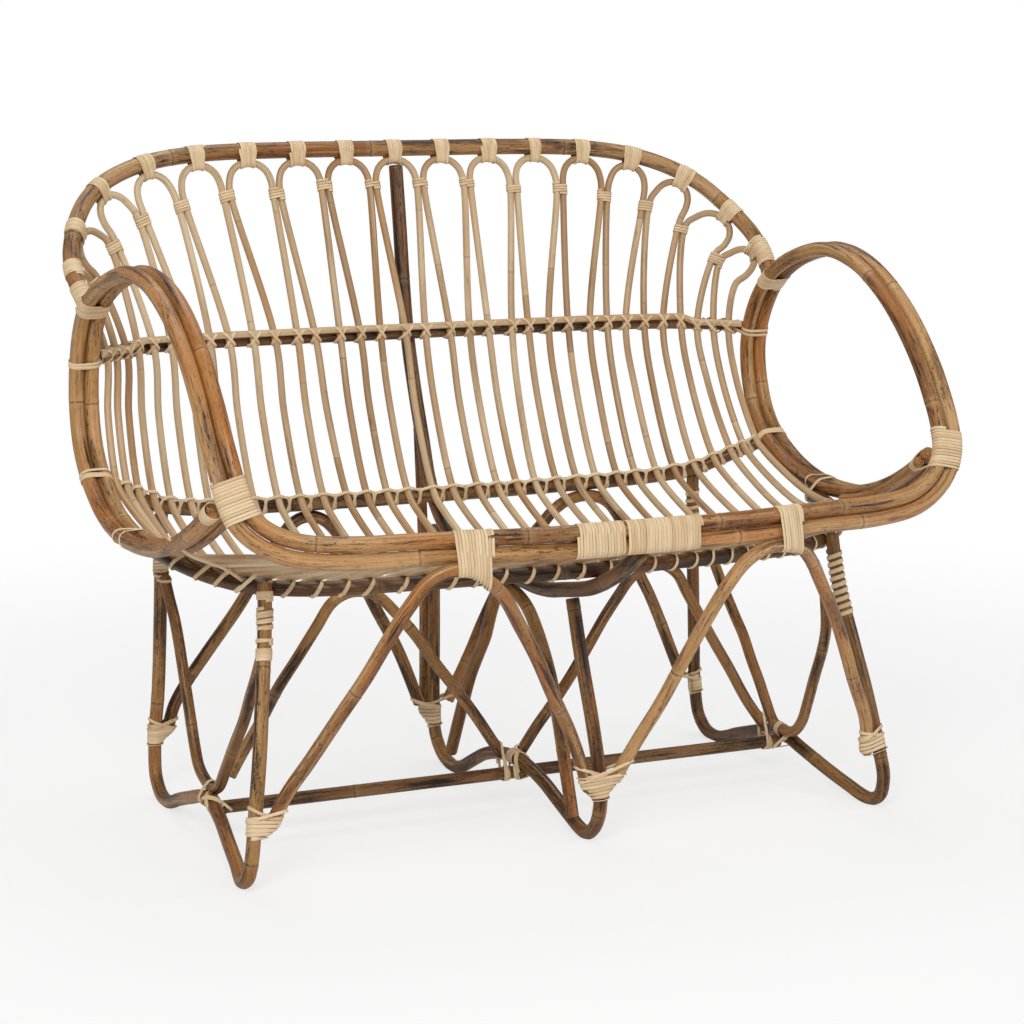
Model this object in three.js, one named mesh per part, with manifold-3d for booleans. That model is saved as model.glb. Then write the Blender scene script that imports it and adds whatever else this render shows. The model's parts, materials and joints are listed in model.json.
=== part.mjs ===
// A two-seat rattan garden sofa, made of bent poles that are lashed together.
// Millimetres, +Z up, +Y to the back. The origin is on the floor below the middle of the sofa.
import * as THREE from 'three';
import Module from 'manifold-3d';
import { mergeVertices } from 'three/addons/utils/BufferGeometryUtils.js';

const wasm = await Module();
wasm.setup();

// Overall sizes.
const armHalfSpan = 530; // middle of the sofa to the middle of an arm's two poles
const frontReach = 430; // origin forward to the front rail
const backReach = 411; // origin back to the rim of the backrest
const railHeight = 457; // floor to the middle of the two front rail poles
const armRise = 317; // front rail up to the top of an arm
const backRise = 457; // front rail up to the rim of the backrest
const legInset = 84; // from the middle of an arm in to the outer leg frame
const legHalfSpan = armHalfSpan - legInset;

// Pole diameters.
const loopDiameter = 21;
const rimDiameter = 24;
const backRailDiameter = 17;
const seatRailDiameter = 20;
const spineDiameter = 21;
const strandDiameter = 10.4;
const legDiameter = 19;
const archDiameter = 18;
const braceDiameter = 16;
const stretcherDiameter = 18;
const edgeDiameter = 13;

// Spacings and ties.
const slabHalf = 9; // how far along a lashing each of its rings looks for poles
const hairpinPitch = 77; // distance along the rim from one hairpin to the next
const tieDrop = 64; // rim down to the tie between two hairpins
const spliceGap = 2; // between the two halves of a front rail pole
const footFlat = 2; // worn flat under each foot
const tieThickness = 2.4;
const turnRidge = 0.9; // how far the middle of a turn of cane stands out
const turnPitch = 11; // one turn of cane to the next
const clearance = 0.3;
const lashingGap = 0.36; // between a lashing and the poles inside it

// How the numbers of sides and steps are chosen.
const poleSides = 8;
const strandSides = 6;
const thinSides = 6;
const strandTurnShare = 0.5; // a corner of the strand's outline faces the rails
const outlineSides = 8;
const samplesAlong = 240;
const armSteps = 33;
const rimSteps = 29;
const railSteps = 20;
const foreRailSteps = 26;
const spineSteps = 21;
const archSteps = 16;
const braceSteps = 17;
const edgeSteps = 5;
const strutSteps = 4;
const seatPasses = 4;
const hairpinsPerSide = 8;

// Lashings: half the length of each.
const cornerHalf = 29;
const rimJointHalf = 17;
const centreWrapHalf = 90;
const nodeWrapHalf = 11;
const nodeReachShare = 1.3;
const archWraps = {
  left: { half: 27, shift: 37 }, // shift is from the top of the arch to the middle of its lashing
  right: { half: 21, shift: 24 },
};
// Near the feet a lashing lies a drop below the tie.
const footWraps = {
  left: { front: { half: 21, drop: 0 }, rear: { half: 22, drop: -3 } },
  middle: { front: { half: 26, drop: 0 }, rear: { half: 24, drop: 14 } },
  right: { front: { half: 22, drop: -8 }, rear: { half: 20, drop: 8 } },
};

// Places are shares: of the half span across, of the reach to the front or the back,
// and of the rail height, with one arm rise more for each whole share above 1.
function spot(xShare, yShare, zShare) {
  const reach = yShare < 0 ? frontReach : backReach;
  const rise = zShare > 1 ? railHeight + (zShare - 1) * armRise : zShare * railHeight;
  return new THREE.Vector3(xShare * armHalfSpan, yShare * reach, rise);
}

// The same for the backrest, where the height is a share of the rise from rail to rim.
function backSpot(xShare, yShare, riseShare) {
  return new THREE.Vector3(xShare * armHalfSpan, yShare * backReach, railHeight + riseShare * backRise);
}

// The same for the leg frames, whose width is a share of their own half span.
function legSpot(xShare, yShare, zShare) {
  return spot(0, yShare, zShare).setX(xShare * legHalfSpan);
}

// A smooth curve whose steps follow its points, so that tight bends get more steps.
// Its rings say how far along the points each ring of the pole stands.
class BentCurve extends THREE.CatmullRomCurve3 {
  getUtoTmapping(u) {
    if (!this.rings) return u;
    const place = u * (this.rings.length - 1);
    const low = Math.min(Math.floor(place), this.rings.length - 2);
    const ring = THREE.MathUtils.lerp(this.rings[low], this.rings[low + 1], place - low);
    return ring / (this.points.length - 1);
  }
}

function bend(points, rings) {
  const curve = new BentCurve(points, false, 'centripetal');
  curve.rings = rings;
  return curve;
}

const poles = [];

function addPole(name, points, diameter, steps, sides = poleSides, turnShare = 0) {
  const pole = { name, points, radius: diameter / 2, steps, sides, turnShare };
  poles.push(pole);
  return refresh(pole);
}

// Works out a pole's curve and its samples again after a point has moved.
function refresh(pole) {
  pole.curve = bend(pole.points, pole.rings);
  pole.samples = pole.curve.getPoints(samplesAlong);
  pole.solids = new Map();
  return pole;
}

function poleGeometry(pole, spare) {
  const corners = [];
  for (let i = 0; i < pole.sides; i++) {
    const angle = ((i + pole.turnShare) / pole.sides) * Math.PI * 2;
    const reach = pole.radius + spare;
    corners.push(new THREE.Vector2(Math.cos(angle) * reach, Math.sin(angle) * reach));
  }
  const geometry = new THREE.ExtrudeGeometry(new THREE.Shape(corners), {
    steps: pole.steps,
    bevelEnabled: false,
    extrudePath: pole.curve,
  });
  geometry.deleteAttribute('normal');
  geometry.deleteAttribute('uv');
  return mergeVertices(geometry, clearance / samplesAlong);
}

function toSolid(geometry) {
  const mesh = new wasm.Mesh({
    numProp: 3,
    vertProperties: new Float32Array(geometry.getAttribute('position').array),
    triVerts: new Uint32Array(geometry.index.array),
  });
  return new wasm.Manifold(mesh);
}

function toGeometry(solid) {
  const mesh = solid.getMesh();
  const geometry = new THREE.BufferGeometry();
  geometry.setAttribute('position', new THREE.BufferAttribute(mesh.vertProperties, 3));
  geometry.setIndex(new THREE.BufferAttribute(mesh.triVerts, 1));
  return geometry;
}

// A pole with feet is cut flat at the floor.
function solidOf(pole, spare = 0) {
  if (!pole.solids.has(spare)) {
    const solid = toSolid(poleGeometry(pole, spare));
    pole.solids.set(spare, pole.standsOnFloor ? solid.trimByPlane([0, 0, 1], 0) : solid);
  }
  return pole.solids.get(spare);
}

// The least distance between the surfaces of two round poles.
function roundGap(pole, other) {
  let least = Infinity;
  for (const a of pole.samples) {
    for (const b of other.samples) {
      least = Math.min(least, a.distanceToSquared(b));
    }
  }
  return Math.sqrt(least) - pole.radius - other.radius;
}

function meshGap(pole, other) {
  return solidOf(pole).minGap(solidOf(other), pole.radius + other.radius);
}

// Moves points of a pole along a direction until it lies against the others.
function rest(pole, indexes, others, direction) {
  const way = direction.clone().normalize();
  for (let pass = 0; pass < seatPasses * 4; pass++) {
    const measure = pass < seatPasses ? roundGap : meshGap;
    const gap = Math.min(...others.map((other) => measure(pole, other)));
    if (measure === meshGap && Math.abs(gap - clearance) < clearance / 10) break;
    const limit = pole.radius + others[0].radius;
    const move = THREE.MathUtils.clamp(clearance - gap, -limit, limit);
    for (const index of indexes) pole.points[index].addScaledVector(way, move);
    refresh(pole);
  }
  return pole;
}

// The least distance near one point of a pole, between round surfaces.
function gapNear(pole, index, other) {
  const centre = Math.round((index / (pole.points.length - 1)) * samplesAlong);
  const spread = Math.round(samplesAlong / pole.points.length);
  let least = Infinity;
  for (const a of pole.samples.slice(Math.max(0, centre - spread), centre + spread + 1)) {
    for (const b of other.samples) {
      least = Math.min(least, a.distanceToSquared(b));
    }
  }
  return Math.sqrt(least) - pole.radius - other.radius;
}

// Moves one point of a pole so that the pole lies against another just there.
function restNear(pole, index, other, direction) {
  const way = direction.clone().normalize();
  for (let pass = 0; pass < seatPasses; pass++) {
    pole.points[index].addScaledVector(way, clearance - gapNear(pole, index, other));
    refresh(pole);
  }
}

function nearestSample(pole, place) {
  let best = pole.samples[0];
  for (const sample of pole.samples) {
    if (sample.distanceToSquared(place) < best.distanceToSquared(place)) best = sample;
  }
  return best;
}

// The point of a pole at a given place across the sofa.
function pointAcross(pole, x) {
  let best = pole.samples[0];
  for (const sample of pole.samples) {
    if (Math.abs(sample.x - x) < Math.abs(best.x - x)) best = sample;
  }
  return best.clone();
}

// The two poles of an arm run from the middle of the front rail round the corner, over the
// arm, down behind the seat and forward again to the corner. Each row is a place, and then
// the direction in which the outer pole lies.
const armLoopShares = [
  [0, -1, 1, 0, -1],
  [0.22, -0.993, 1, 0, -1],
  [0.42, -0.96, 1, 0, -1],
  [0.62, -0.912, 1, 0, -1],
  [0.79, -0.858, 1, 0.2, -1],
  [0.883, -0.825, 1.045, 0.55, -0.85],
  [0.94, -0.802, 1.12, 0.85, -0.6],
  [0.966, -0.782, 1.22, 1, -0.25],
  [0.975, -0.738, 1.335, 1, 0],
  [0.979, -0.685, 1.44, 1, 0],
  [0.98, -0.583, 1.62, 1, 0],
  [0.981, -0.434, 1.8, 1, 0],
  [0.983, -0.258, 1.935, 1, 0],
  [0.99, -0.04, 2, 1, 0],
  [0.996, 0.2, 1.955, 1, 0],
  [1.002, 0.36, 1.878, 1, 0],
  [1.006, 0.465, 1.79, 1, 0],
  [1.006, 0.542, 1.66, 1, 0],
  [1.006, 0.583, 1.52, 1, 0],
  [1.008, 0.586, 1.38, 1, 0],
  [1.01, 0.552, 1.22, 1, 0],
  [1.01, 0.485, 1.1, 1, 0],
  [1.011, 0.385, 1.01, 1, 0],
  [1.012, 0.255, 0.955, 1, 0],
  [1.01, 0.1, 0.925, 1, 0],
  [1.008, -0.07, 0.92, 1, 0],
  [1.005, -0.235, 0.935, 1, -0.15],
  [0.999, -0.395, 0.973, 1, -0.35],
  [0.992, -0.545, 1.045, 1, -0.5],
  [0.978, -0.7, 1.165, 1, -0.5],
];

function armPole(side, outward) {
  const middle = armLoopShares.map(([x, y, z]) => spot(x * side, y, z));
  middle[0].x = (side * spliceGap) / 2;
  const curve = bend(middle);
  const half = loopDiameter / 2 + clearance;
  return middle.map((place, i) => {
    const along = curve.getTangent(i / (middle.length - 1));
    const [, , , across, down] = armLoopShares[i];
    const hint = new THREE.Vector3(across * side, 0, down);
    hint.addScaledVector(along, -hint.dot(along)).normalize();
    return place.clone().addScaledVector(hint, outward * half);
  });
}

const arms = {};
for (const [sideName, side] of [['left', -1], ['right', 1]]) {
  arms[sideName] = {
    side,
    inner: addPole(`arm_inner_pole_${sideName}`, armPole(side, -1), loopDiameter, armSteps),
    outer: addPole(`arm_outer_pole_${sideName}`, armPole(side, 1), loopDiameter, armSteps),
  };
}

// Rows of places for one half are mirrored to make a pole that is alike on both sides.
function bothSides(rows, place) {
  const right = rows.map(([x, y, z]) => place(x, y, z));
  const left = rows.slice(1).map(([x, y, z]) => place(-x, y, z));
  return [...left.reverse(), ...right];
}

// The rim of the backrest, from the middle of its top to the arm.
const rimShares = [
  [0, 1, 1],
  [0.15, 1, 1],
  [0.3, 0.999, 1],
  [0.45, 0.996, 0.998],
  [0.59, 0.985, 0.992],
  [0.73, 0.955, 0.97],
  [0.84, 0.908, 0.93],
  [0.92, 0.845, 0.876],
  [0.975, 0.765, 0.806],
  [1.01, 0.675, 0.735],
  [1.028, 0.59, 0.665],
  [1.015, 0.515, 0.598],
];
const rim = addPole('back_rim', bothSides(rimShares, backSpot), rimDiameter, rimSteps);
const armPoles = [arms.left.inner, arms.left.outer, arms.right.inner, arms.right.outer];

// The ends of the rim butt on the two poles of each arm.
const towardBack = new THREE.Vector3(0, 1, 1);
rest(rim, [0], armPoles.slice(0, 2), towardBack);
rest(rim, [rim.points.length - 1], armPoles.slice(2), towardBack);

// Three rails carry the strands: one behind the back, one behind the seat, one under its front.
const backRailShares = [
  [0, 0.815, 0.403],
  [0.3, 0.818, 0.403],
  [0.55, 0.822, 0.402],
  [0.7, 0.81, 0.4],
  [0.83, 0.76, 0.399],
  [0.91, 0.69, 0.398],
  [0.962, 0.605, 0.393],
];
const rearRailShares = [
  [0, 0.56, 0.898],
  [0.3, 0.565, 0.898],
  [0.55, 0.58, 0.9],
  [0.69, 0.578, 0.906],
  [0.8, 0.555, 0.925],
  [0.885, 0.515, 0.965],
  [0.945, 0.462, 1.025],
];
const foreRailShares = [
  [0, -0.668, 0.85],
  [0.19, -0.645, 0.848],
  [0.38, -0.59, 0.84],
  [0.57, -0.52, 0.83],
  [0.72, -0.445, 0.825],
  [0.84, -0.35, 0.835],
  [0.92, -0.22, 0.862],
  [0.957, -0.08, 0.882],
  [0.965, 0.06, 0.888],
];
const backRail = addPole('back_rail', bothSides(backRailShares, backSpot), backRailDiameter, railSteps);
const rearRail = addPole('rear_seat_rail', bothSides(rearRailShares, spot), seatRailDiameter, railSteps);
const foreRail = addPole('front_seat_rail', bothSides(foreRailShares, spot), seatRailDiameter, foreRailSteps);
for (const rail of [backRail, rearRail, foreRail]) {
  rest(rail, [0], [arms.left.inner], new THREE.Vector3(1, 0, 0));
  rest(rail, [rail.points.length - 1], [arms.right.inner], new THREE.Vector3(-1, 0, 0));
}

// Distances along the rim, measured from the middle of its top.
function alongRim(distance) {
  const middle = samplesAlong / 2;
  const way = Math.sign(distance) || 1;
  let index = middle;
  let travelled = 0;
  while (rim.samples[index + way] && travelled < Math.abs(distance)) {
    travelled += rim.samples[index].distanceTo(rim.samples[index + way]);
    index += way;
  }
  const tangent = rim.curve.getTangent(index / samplesAlong);
  const back = travelled - Math.abs(distance);
  return { place: rim.samples[index].clone().addScaledVector(tangent, -way * back), tangent };
}

// Where each strand of one half crosses the back rail, the rear rail, the dip of the seat,
// the front seat rail and the front rail, as shares of the half span.
const strandShares = [
  [0.034, 0.034, 0.034, 0.034, 0.036],
  [0.1, 0.1, 0.1, 0.1, 0.1],
  [0.166, 0.166, 0.166, 0.166, 0.166],
  [0.228, 0.227, 0.227, 0.227, 0.227],
  [0.296, 0.288, 0.288, 0.288, 0.288],
  [0.356, 0.355, 0.355, 0.355, 0.35],
  [0.42, 0.416, 0.416, 0.414, 0.406],
  [0.482, 0.482, 0.48, 0.476, 0.472],
  [0.547, 0.55, 0.547, 0.541, 0.53],
  [0.608, 0.613, 0.61, 0.602, 0.588],
  [0.666, 0.674, 0.67, 0.66, 0.642],
  [0.722, 0.732, 0.727, 0.716, 0.692],
  [0.773, 0.79, 0.783, 0.77, 0.737],
  [0.824, 0.842, 0.832, 0.815, 0.777],
  [0.865, 0.888, 0.874, 0.85, 0.812],
  [0.902, 0.924, 0.909, 0.882, 0.843],
  [0.936, 0.956, 0.94, 0.912, 0.872],
];
// How low and how far back each strand dips between the two seat rails.
const dipShares = [
  [-0.07, 0.743],
  [-0.07, 0.743],
  [-0.07, 0.743],
  [-0.07, 0.743],
  [-0.07, 0.743],
  [-0.07, 0.743],
  [-0.07, 0.743],
  [-0.07, 0.745],
  [-0.07, 0.748],
  [-0.07, 0.752],
  [-0.065, 0.759],
  [-0.06, 0.77],
  [-0.05, 0.787],
  [-0.03, 0.808],
  [0, 0.84],
  [0.02, 0.873],
  [0.04, 0.91],
];
const midBackShare = 0.47; // share of the way from the back rail down to the rear rail
const midBackBow = 13; // how far a strand bows back there

// The two legs of neighbouring hairpins touch at a tie below the rim.
function tiePlace(distance, target) {
  const { place, tangent } = alongRim(distance);
  const down = target.clone().sub(place);
  down.addScaledVector(tangent, -down.dot(tangent)).normalize();
  return { place: place.clone().addScaledVector(down, tieDrop), tangent, down };
}

function strandAt(leg, row) {
  return Math.sign(leg) * strandShares[Math.abs(leg) - 1][row] * armHalfSpan;
}

// Where a strand crosses a rail, standing clear of it along the given direction.
function overRail(rail, x, direction) {
  const reach = rail.radius + strandDiameter / 2 + clearance;
  return pointAcross(rail, x).addScaledVector(direction.clone().normalize(), reach);
}

const awayFromBackRail = new THREE.Vector3(0, -1, 0.05);
const awayFromRearRail = new THREE.Vector3(0, -0.66, 0.75);
const awayFromForeRail = new THREE.Vector3(0, -0.3, 0.95);
const awayFromFrontPole = new THREE.Vector3(0, 0.92, -0.38);

// One leg of a hairpin, from its tie down the back, over the seat and under the front rail.
// Legs are numbered 1 to 17 from the middle, and are negative on the left.
function strandPoints(leg) {
  const [dipY, dipZ] = dipShares[Math.abs(leg) - 1];
  const atBack = overRail(backRail, strandAt(leg, 0), awayFromBackRail);
  const atRear = overRail(rearRail, strandAt(leg, 1), awayFromRearRail);
  const bow = atBack.clone().lerp(atRear, midBackShare);
  bow.y += midBackBow;
  const dip = spot(0, dipY, dipZ).setX(strandAt(leg, 2));
  const atFore = overRail(foreRail, strandAt(leg, 3), awayFromForeRail);
  const arm = leg < 0 ? arms.left.outer : arms.right.outer;
  const atFront = frontPlace(arm, strandAt(leg, 4));
  return [atBack, bow, atRear, dip, atFore, atFront];
}

// The front rail is the first part of an arm pole, so only that stretch is searched.
const frontRailShare = 0.25;

function frontPlace(arm, x) {
  const stretch = arm.samples.slice(0, Math.round(samplesAlong * frontRailShare));
  let best = stretch[0];
  for (const sample of stretch) {
    if (Math.abs(sample.x - x) < Math.abs(best.x - x)) best = sample;
  }
  const reach = arm.radius + strandDiameter / 2 + clearance;
  return best.clone().addScaledVector(awayFromFrontPole, reach);
}

// The bow of a hairpin in shares of its half width and of its height above the ties.
const bowShares = [
  [-0.97, 0.4],
  [-0.8, 0.72],
  [-0.46, 0.93],
  [0, 1],
  [0.46, 0.93],
  [0.8, 0.72],
  [0.97, 0.4],
];

// The middle of each hairpin along the rim, in pitches: they stand wider apart at the corners.
const placeShares = [0, 1, 2, 3.02, 4.08, 5.18, 6.34, 7.6, 8.65, 9.5];

function alongPlace(count) {
  return Math.sign(count) * placeShares[Math.abs(count)] * hairpinPitch;
}

function hairpinPoints(number) {
  const distance = alongPlace(number);
  const leftLeg = number > 0 ? number * 2 : number * 2 - 1;
  const rightLeg = number < 0 ? number * 2 : number * 2 + 1;
  const left = strandPoints(number === 0 ? -1 : leftLeg);
  const right = strandPoints(number === 0 ? 1 : rightLeg);
  const target = left[0].clone().lerp(right[0], 1 / 2);
  const before = tiePlace((distance + alongPlace(number - 1)) / 2, target);
  const after = tiePlace((distance + alongPlace(number + 1)) / 2, target);
  const apart = (strandDiameter + clearance * 2) / 2;
  const leftTie = before.place.clone().addScaledVector(before.tangent, apart);
  const rightTie = after.place.clone().addScaledVector(after.tangent, -apart);
  const top = alongRim(distance);
  const down = target.clone().sub(top.place);
  down.addScaledVector(top.tangent, -down.dot(top.tangent)).normalize();
  const apex = top.place.clone().addScaledVector(down, rim.radius + strandDiameter / 2 + clearance);
  const foot = leftTie.clone().lerp(rightTie, 1 / 2);
  const across = rightTie.clone().sub(leftTie).divideScalar(2);
  const up = apex.clone().sub(foot);
  const bow = bowShares.map(([x, z]) => foot.clone().addScaledVector(across, x).addScaledVector(up, z));
  return [...left.reverse(), leftTie, ...bow, rightTie, ...right];
}

// Where a hairpin has its rings, counted along its points. They are close together at the rails.
const legRings = [0, 1, 1.2, 2, 2.8, 3, 4, 5];
const bowRings = [6, 7, 8, 9, 10, 11, 12, 13, 14];
const hairpinLast = 20;
const hairpinRings = [...legRings, ...bowRings, ...legRings.map((ring) => hairpinLast - ring).reverse()];
const hairpins = [];

// Both legs of a hairpin are lifted together until their sides are clear of a rail.
function clearRail(hairpin, step, rail, direction) {
  const way = direction.clone().normalize();
  for (let pass = 0; pass < seatPasses * 2; pass++) {
    const gap = meshGap(hairpin, rail);
    if (gap > clearance / 2) return;
    for (const index of [step, hairpin.points.length - 1 - step]) {
      hairpin.points[index].addScaledVector(way, clearance);
    }
    refresh(hairpin);
  }
}

for (let number = -hairpinsPerSide; number <= hairpinsPerSide; number++) {
  const name = `hairpin_${String(number + hairpinsPerSide + 1).padStart(2, '0')}`;
  const points = hairpinPoints(number);
  const hairpin = addPole(name, points, strandDiameter, hairpinRings.length - 1, strandSides, strandTurnShare);
  hairpin.rings = hairpinRings;
  refresh(hairpin);
  const last = points.length - 1;
  for (const end of [0, last]) {
    const step = end === 0 ? 1 : -1;
    const arm = points[end].x < 0 ? arms.left.outer : arms.right.outer;
    restNear(hairpin, end, arm, awayFromFrontPole);
    restNear(hairpin, end + step, foreRail, awayFromForeRail);
    restNear(hairpin, end + step * 3, rearRail, awayFromRearRail);
    restNear(hairpin, end + step * 5, backRail, awayFromBackRail);
  }
  clearRail(hairpin, 1, foreRail, awayFromForeRail);
  clearRail(hairpin, 3, rearRail, awayFromRearRail);
  clearRail(hairpin, 5, backRail, awayFromBackRail);
  hairpins.push(hairpin);
}

// The spine runs down behind the back rail, under the seat and up to the front rail.
const spineBackShares = [
  [0, 0.965, 0.945],
  [0, 0.93, 0.75],
  [0, 0.87, 0.4],
  [0, 0.74, 0.1],
];
const spineSeatShares = [
  [0, 0.595, 0.865],
  [0, 0.3, 0.73],
  [0, -0.05, 0.68],
  [0, -0.3, 0.732],
  [0, -0.47, 0.775],
  [0, -0.66, 0.815],
  [0, -0.85, 0.875],
  [0, -0.955, 0.905],
];
const spineRows = [
  ...spineBackShares.map((shares) => backSpot(...shares)),
  ...spineSeatShares.map((shares) => spot(...shares)),
];
const spine = addPole('centre_spine', spineRows, spineDiameter, spineSteps);
rest(spine, [2], [backRail], new THREE.Vector3(0, 1, 0));
rest(spine, [4], [rearRail], new THREE.Vector3(0, 0.66, -0.75));
rest(spine, [8, 9], [foreRail], new THREE.Vector3(0, -0.3, -0.95));
rest(spine, [6], [hairpins[hairpinsPerSide]], new THREE.Vector3(0, 0, -1));
rest(spine, [11], [arms.left.outer, arms.right.outer], new THREE.Vector3(0, 0.5, -0.85));

// A thin pole lies inside the low run of each arm, from the front seat rail to the corner.
const edgeStartShare = 0.883; // of the way along the arm's inner pole
const edgeRows = 6;
const edgeSide = new THREE.Vector3(-0.87, 0, -0.5);
for (const [name, arm] of Object.entries(arms)) {
  const away = edgeSide.clone().setX(edgeSide.x * arm.side).normalize();
  const points = [];
  for (let i = 0; i < edgeRows; i++) {
    const share = THREE.MathUtils.lerp(edgeStartShare, 1, i / (edgeRows - 1));
    const reach = (loopDiameter + edgeDiameter) / 2 + clearance;
    points.push(arm.inner.curve.getPoint(share).addScaledVector(away, reach));
  }
  const edge = addPole(`seat_edge_pole_${name}`, points, edgeDiameter, edgeSteps, thinSides);
  rest(edge, edge.points.map((point, i) => i), [arm.inner], away);
}

// Legs: the stretcher on which the three leg frames stand, and what stands on it.
const stretcherShares = [
  [-0.97, -0.065, 0.11],
  [0.97, -0.065, 0.11],
];
const stretcher = addPole('stretcher', stretcherShares.map((shares) => legSpot(...shares)), stretcherDiameter, 1);

// One frame is a front leg, a foot, a hump on the stretcher, a foot and a rear leg.
const sideLegShares = [
  [0.945, -0.43, 0.85],
  [0.958, -0.465, 0.7],
  [0.985, -0.515, 0.53],
  [1.01, -0.56, 0.38],
  [1.04, -0.597, 0.2],
  [1.052, -0.61, 0.12],
  [1.058, -0.585, 0.045],
  [1.056, -0.52, 0],
  [1.04, -0.425, 0.035],
  [1.022, -0.29, 0.068],
  [1.006, -0.16, 0.104],
  [1, -0.04, 0.131],
  [1, 0.05, 0.12],
  [1, 0.16, 0.091],
  [1, 0.3, 0.052],
  [0.998, 0.42, 0],
  [0.996, 0.52, 0.022],
  [0.994, 0.585, 0.075],
  [0.988, 0.603, 0.19],
  [0.978, 0.59, 0.33],
  [0.97, 0.584, 0.5],
  [0.963, 0.582, 0.7],
  [0.958, 0.575, 0.86],
];
const middleLegShares = [
  [0.045, -0.42, 0.72],
  [0.05, -0.47, 0.56],
  [0.056, -0.55, 0.35],
  [0.06, -0.595, 0.19],
  [0.062, -0.575, 0.08],
  [0.063, -0.493, 0],
  [0.055, -0.4, 0.04],
  [0.035, -0.22, 0.118],
  [0.022, -0.065, 0.148],
  [0.012, 0.08, 0.14],
  [0.008, 0.186, 0.113],
  [0.007, 0.3, 0.065],
  [0.004, 0.43, 0],
  [0.004, 0.56, 0.035],
  [0.004, 0.63, 0.1],
  [0.004, 0.64, 0.19],
  [0.004, 0.635, 0.45],
  [0.004, 0.63, 0.65],
  [0.004, 0.61, 0.79],
];
const tieHeightShare = 0.19; // of the lashings near the feet

// Which rows of a leg frame are its feet, its hump and its ties.
function rowsOf(shares) {
  const heights = shares.map((share) => share[2]);
  const frontFoot = heights.indexOf(0);
  const rearFoot = heights.lastIndexOf(0);
  const between = heights.slice(frontFoot, rearFoot);
  const hump = frontFoot + between.indexOf(Math.max(...between));
  const away = heights.map((height) => Math.abs(height - tieHeightShare));
  const frontTie = away.indexOf(Math.min(...away.slice(0, frontFoot)));
  const rearTie = away.lastIndexOf(Math.min(...away.slice(rearFoot)));
  return { frontFoot, hump, rearFoot, frontTie, rearTie };
}

const sideRows = rowsOf(sideLegShares);
const middleRows = rowsOf(middleLegShares);

function legPoints(shares, rows, side) {
  const points = shares.map(([x, y, z]) => legSpot(x * side, y, z));
  for (const foot of [rows.frontFoot, rows.rearFoot]) points[foot].z = legDiameter / 2 - footFlat;
  return points;
}

// A leg frame has a ring at each point, and twice as many round its feet.
function legRingsOf(points, rows) {
  const rings = points.map((point, i) => i);
  for (const foot of [rows.frontFoot, rows.rearFoot]) {
    for (const step of [-3, -1, 1, 3]) rings.push(foot + step / 2);
  }
  return rings.sort((a, b) => a - b);
}

const up = new THREE.Vector3(0, 0, 1);
const legs = {};
for (const [name, shares, rows, side] of [
  ['left', sideLegShares, sideRows, -1],
  ['middle', middleLegShares, middleRows, 1],
  ['right', sideLegShares, sideRows, 1],
]) {
  const points = legPoints(shares, rows, side);
  const rings = legRingsOf(points, rows);
  const pole = addPole(`leg_frame_${name}`, points, legDiameter, rings.length - 1);
  pole.standsOnFloor = true;
  pole.rows = rows;
  pole.rings = rings;
  legs[name] = refresh(pole);
}
rest(legs.middle, [middleRows.hump], [stretcher], up);
rest(stretcher, [0], [legs.left], new THREE.Vector3(1, 0, 0));
rest(stretcher, [1], [legs.right], new THREE.Vector3(-1, 0, 0));
for (const name of ['left', 'right']) {
  rest(legs[name], [0], [foreRail], new THREE.Vector3(0, -1, 0));
  rest(legs[name], [legs[name].points.length - 1], [rearRail], new THREE.Vector3(0, 0, -1));
}

// A V of thinner pole stands inside each end frame, and reaches up to the tops of its legs.
const braceLeftShares = [
  [-0.94, -0.41, 0.66],
  [-0.956, -0.375, 0.56],
  [-0.966, -0.336, 0.485],
  [-0.969, -0.268, 0.39],
  [-0.973, -0.168, 0.293],
  [-0.978, -0.085, 0.19],
  [-0.98, -0.02, 0.167],
  [-0.978, 0.07, 0.17],
  [-0.975, 0.155, 0.192],
  [-0.97, 0.218, 0.255],
  [-0.968, 0.275, 0.351],
  [-0.967, 0.323, 0.435],
  [-0.966, 0.364, 0.506],
  [-0.966, 0.406, 0.578],
  [-0.966, 0.471, 0.646],
  [-0.967, 0.522, 0.71],
];
const braceRightShares = [
  [0.937, -0.415, 0.67],
  [0.956, -0.395, 0.571],
  [0.969, -0.365, 0.5],
  [0.973, -0.3, 0.372],
  [0.978, -0.24, 0.258],
  [0.978, -0.19, 0.195],
  [0.98, -0.106, 0.167],
  [0.973, -0.023, 0.185],
  [0.969, 0.043, 0.256],
  [0.964, 0.101, 0.324],
  [0.96, 0.18, 0.423],
  [0.955, 0.248, 0.489],
  [0.953, 0.36, 0.6],
  [0.95, 0.47, 0.72],
];
const braces = {};

// The row at which a pole is lowest or highest.
function extremeRow(pole, pick) {
  const levels = pole.points.map((place) => place.z);
  return levels.indexOf(pick(...levels));
}

for (const [name, shares] of [['left', braceLeftShares], ['right', braceRightShares]]) {
  const points = shares.map(([x, y, z]) => legSpot(x, y, z));
  const brace = addPole(`v_brace_${name}`, points, braceDiameter, braceSteps, thinSides);
  const bottom = extremeRow(brace, Math.min);
  rest(brace, [bottom - 1, bottom, bottom + 1], [legs[name]], up);
  braces[name] = brace;
}

// An arch of pole, with its feet tied to two legs and its top under a rail.
function addArch(name, rows, diameter, sides = poleSides) {
  return addPole(name, rows.map(([x, y, z]) => legSpot(x, y, z)), diameter, archSteps, sides);
}

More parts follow.
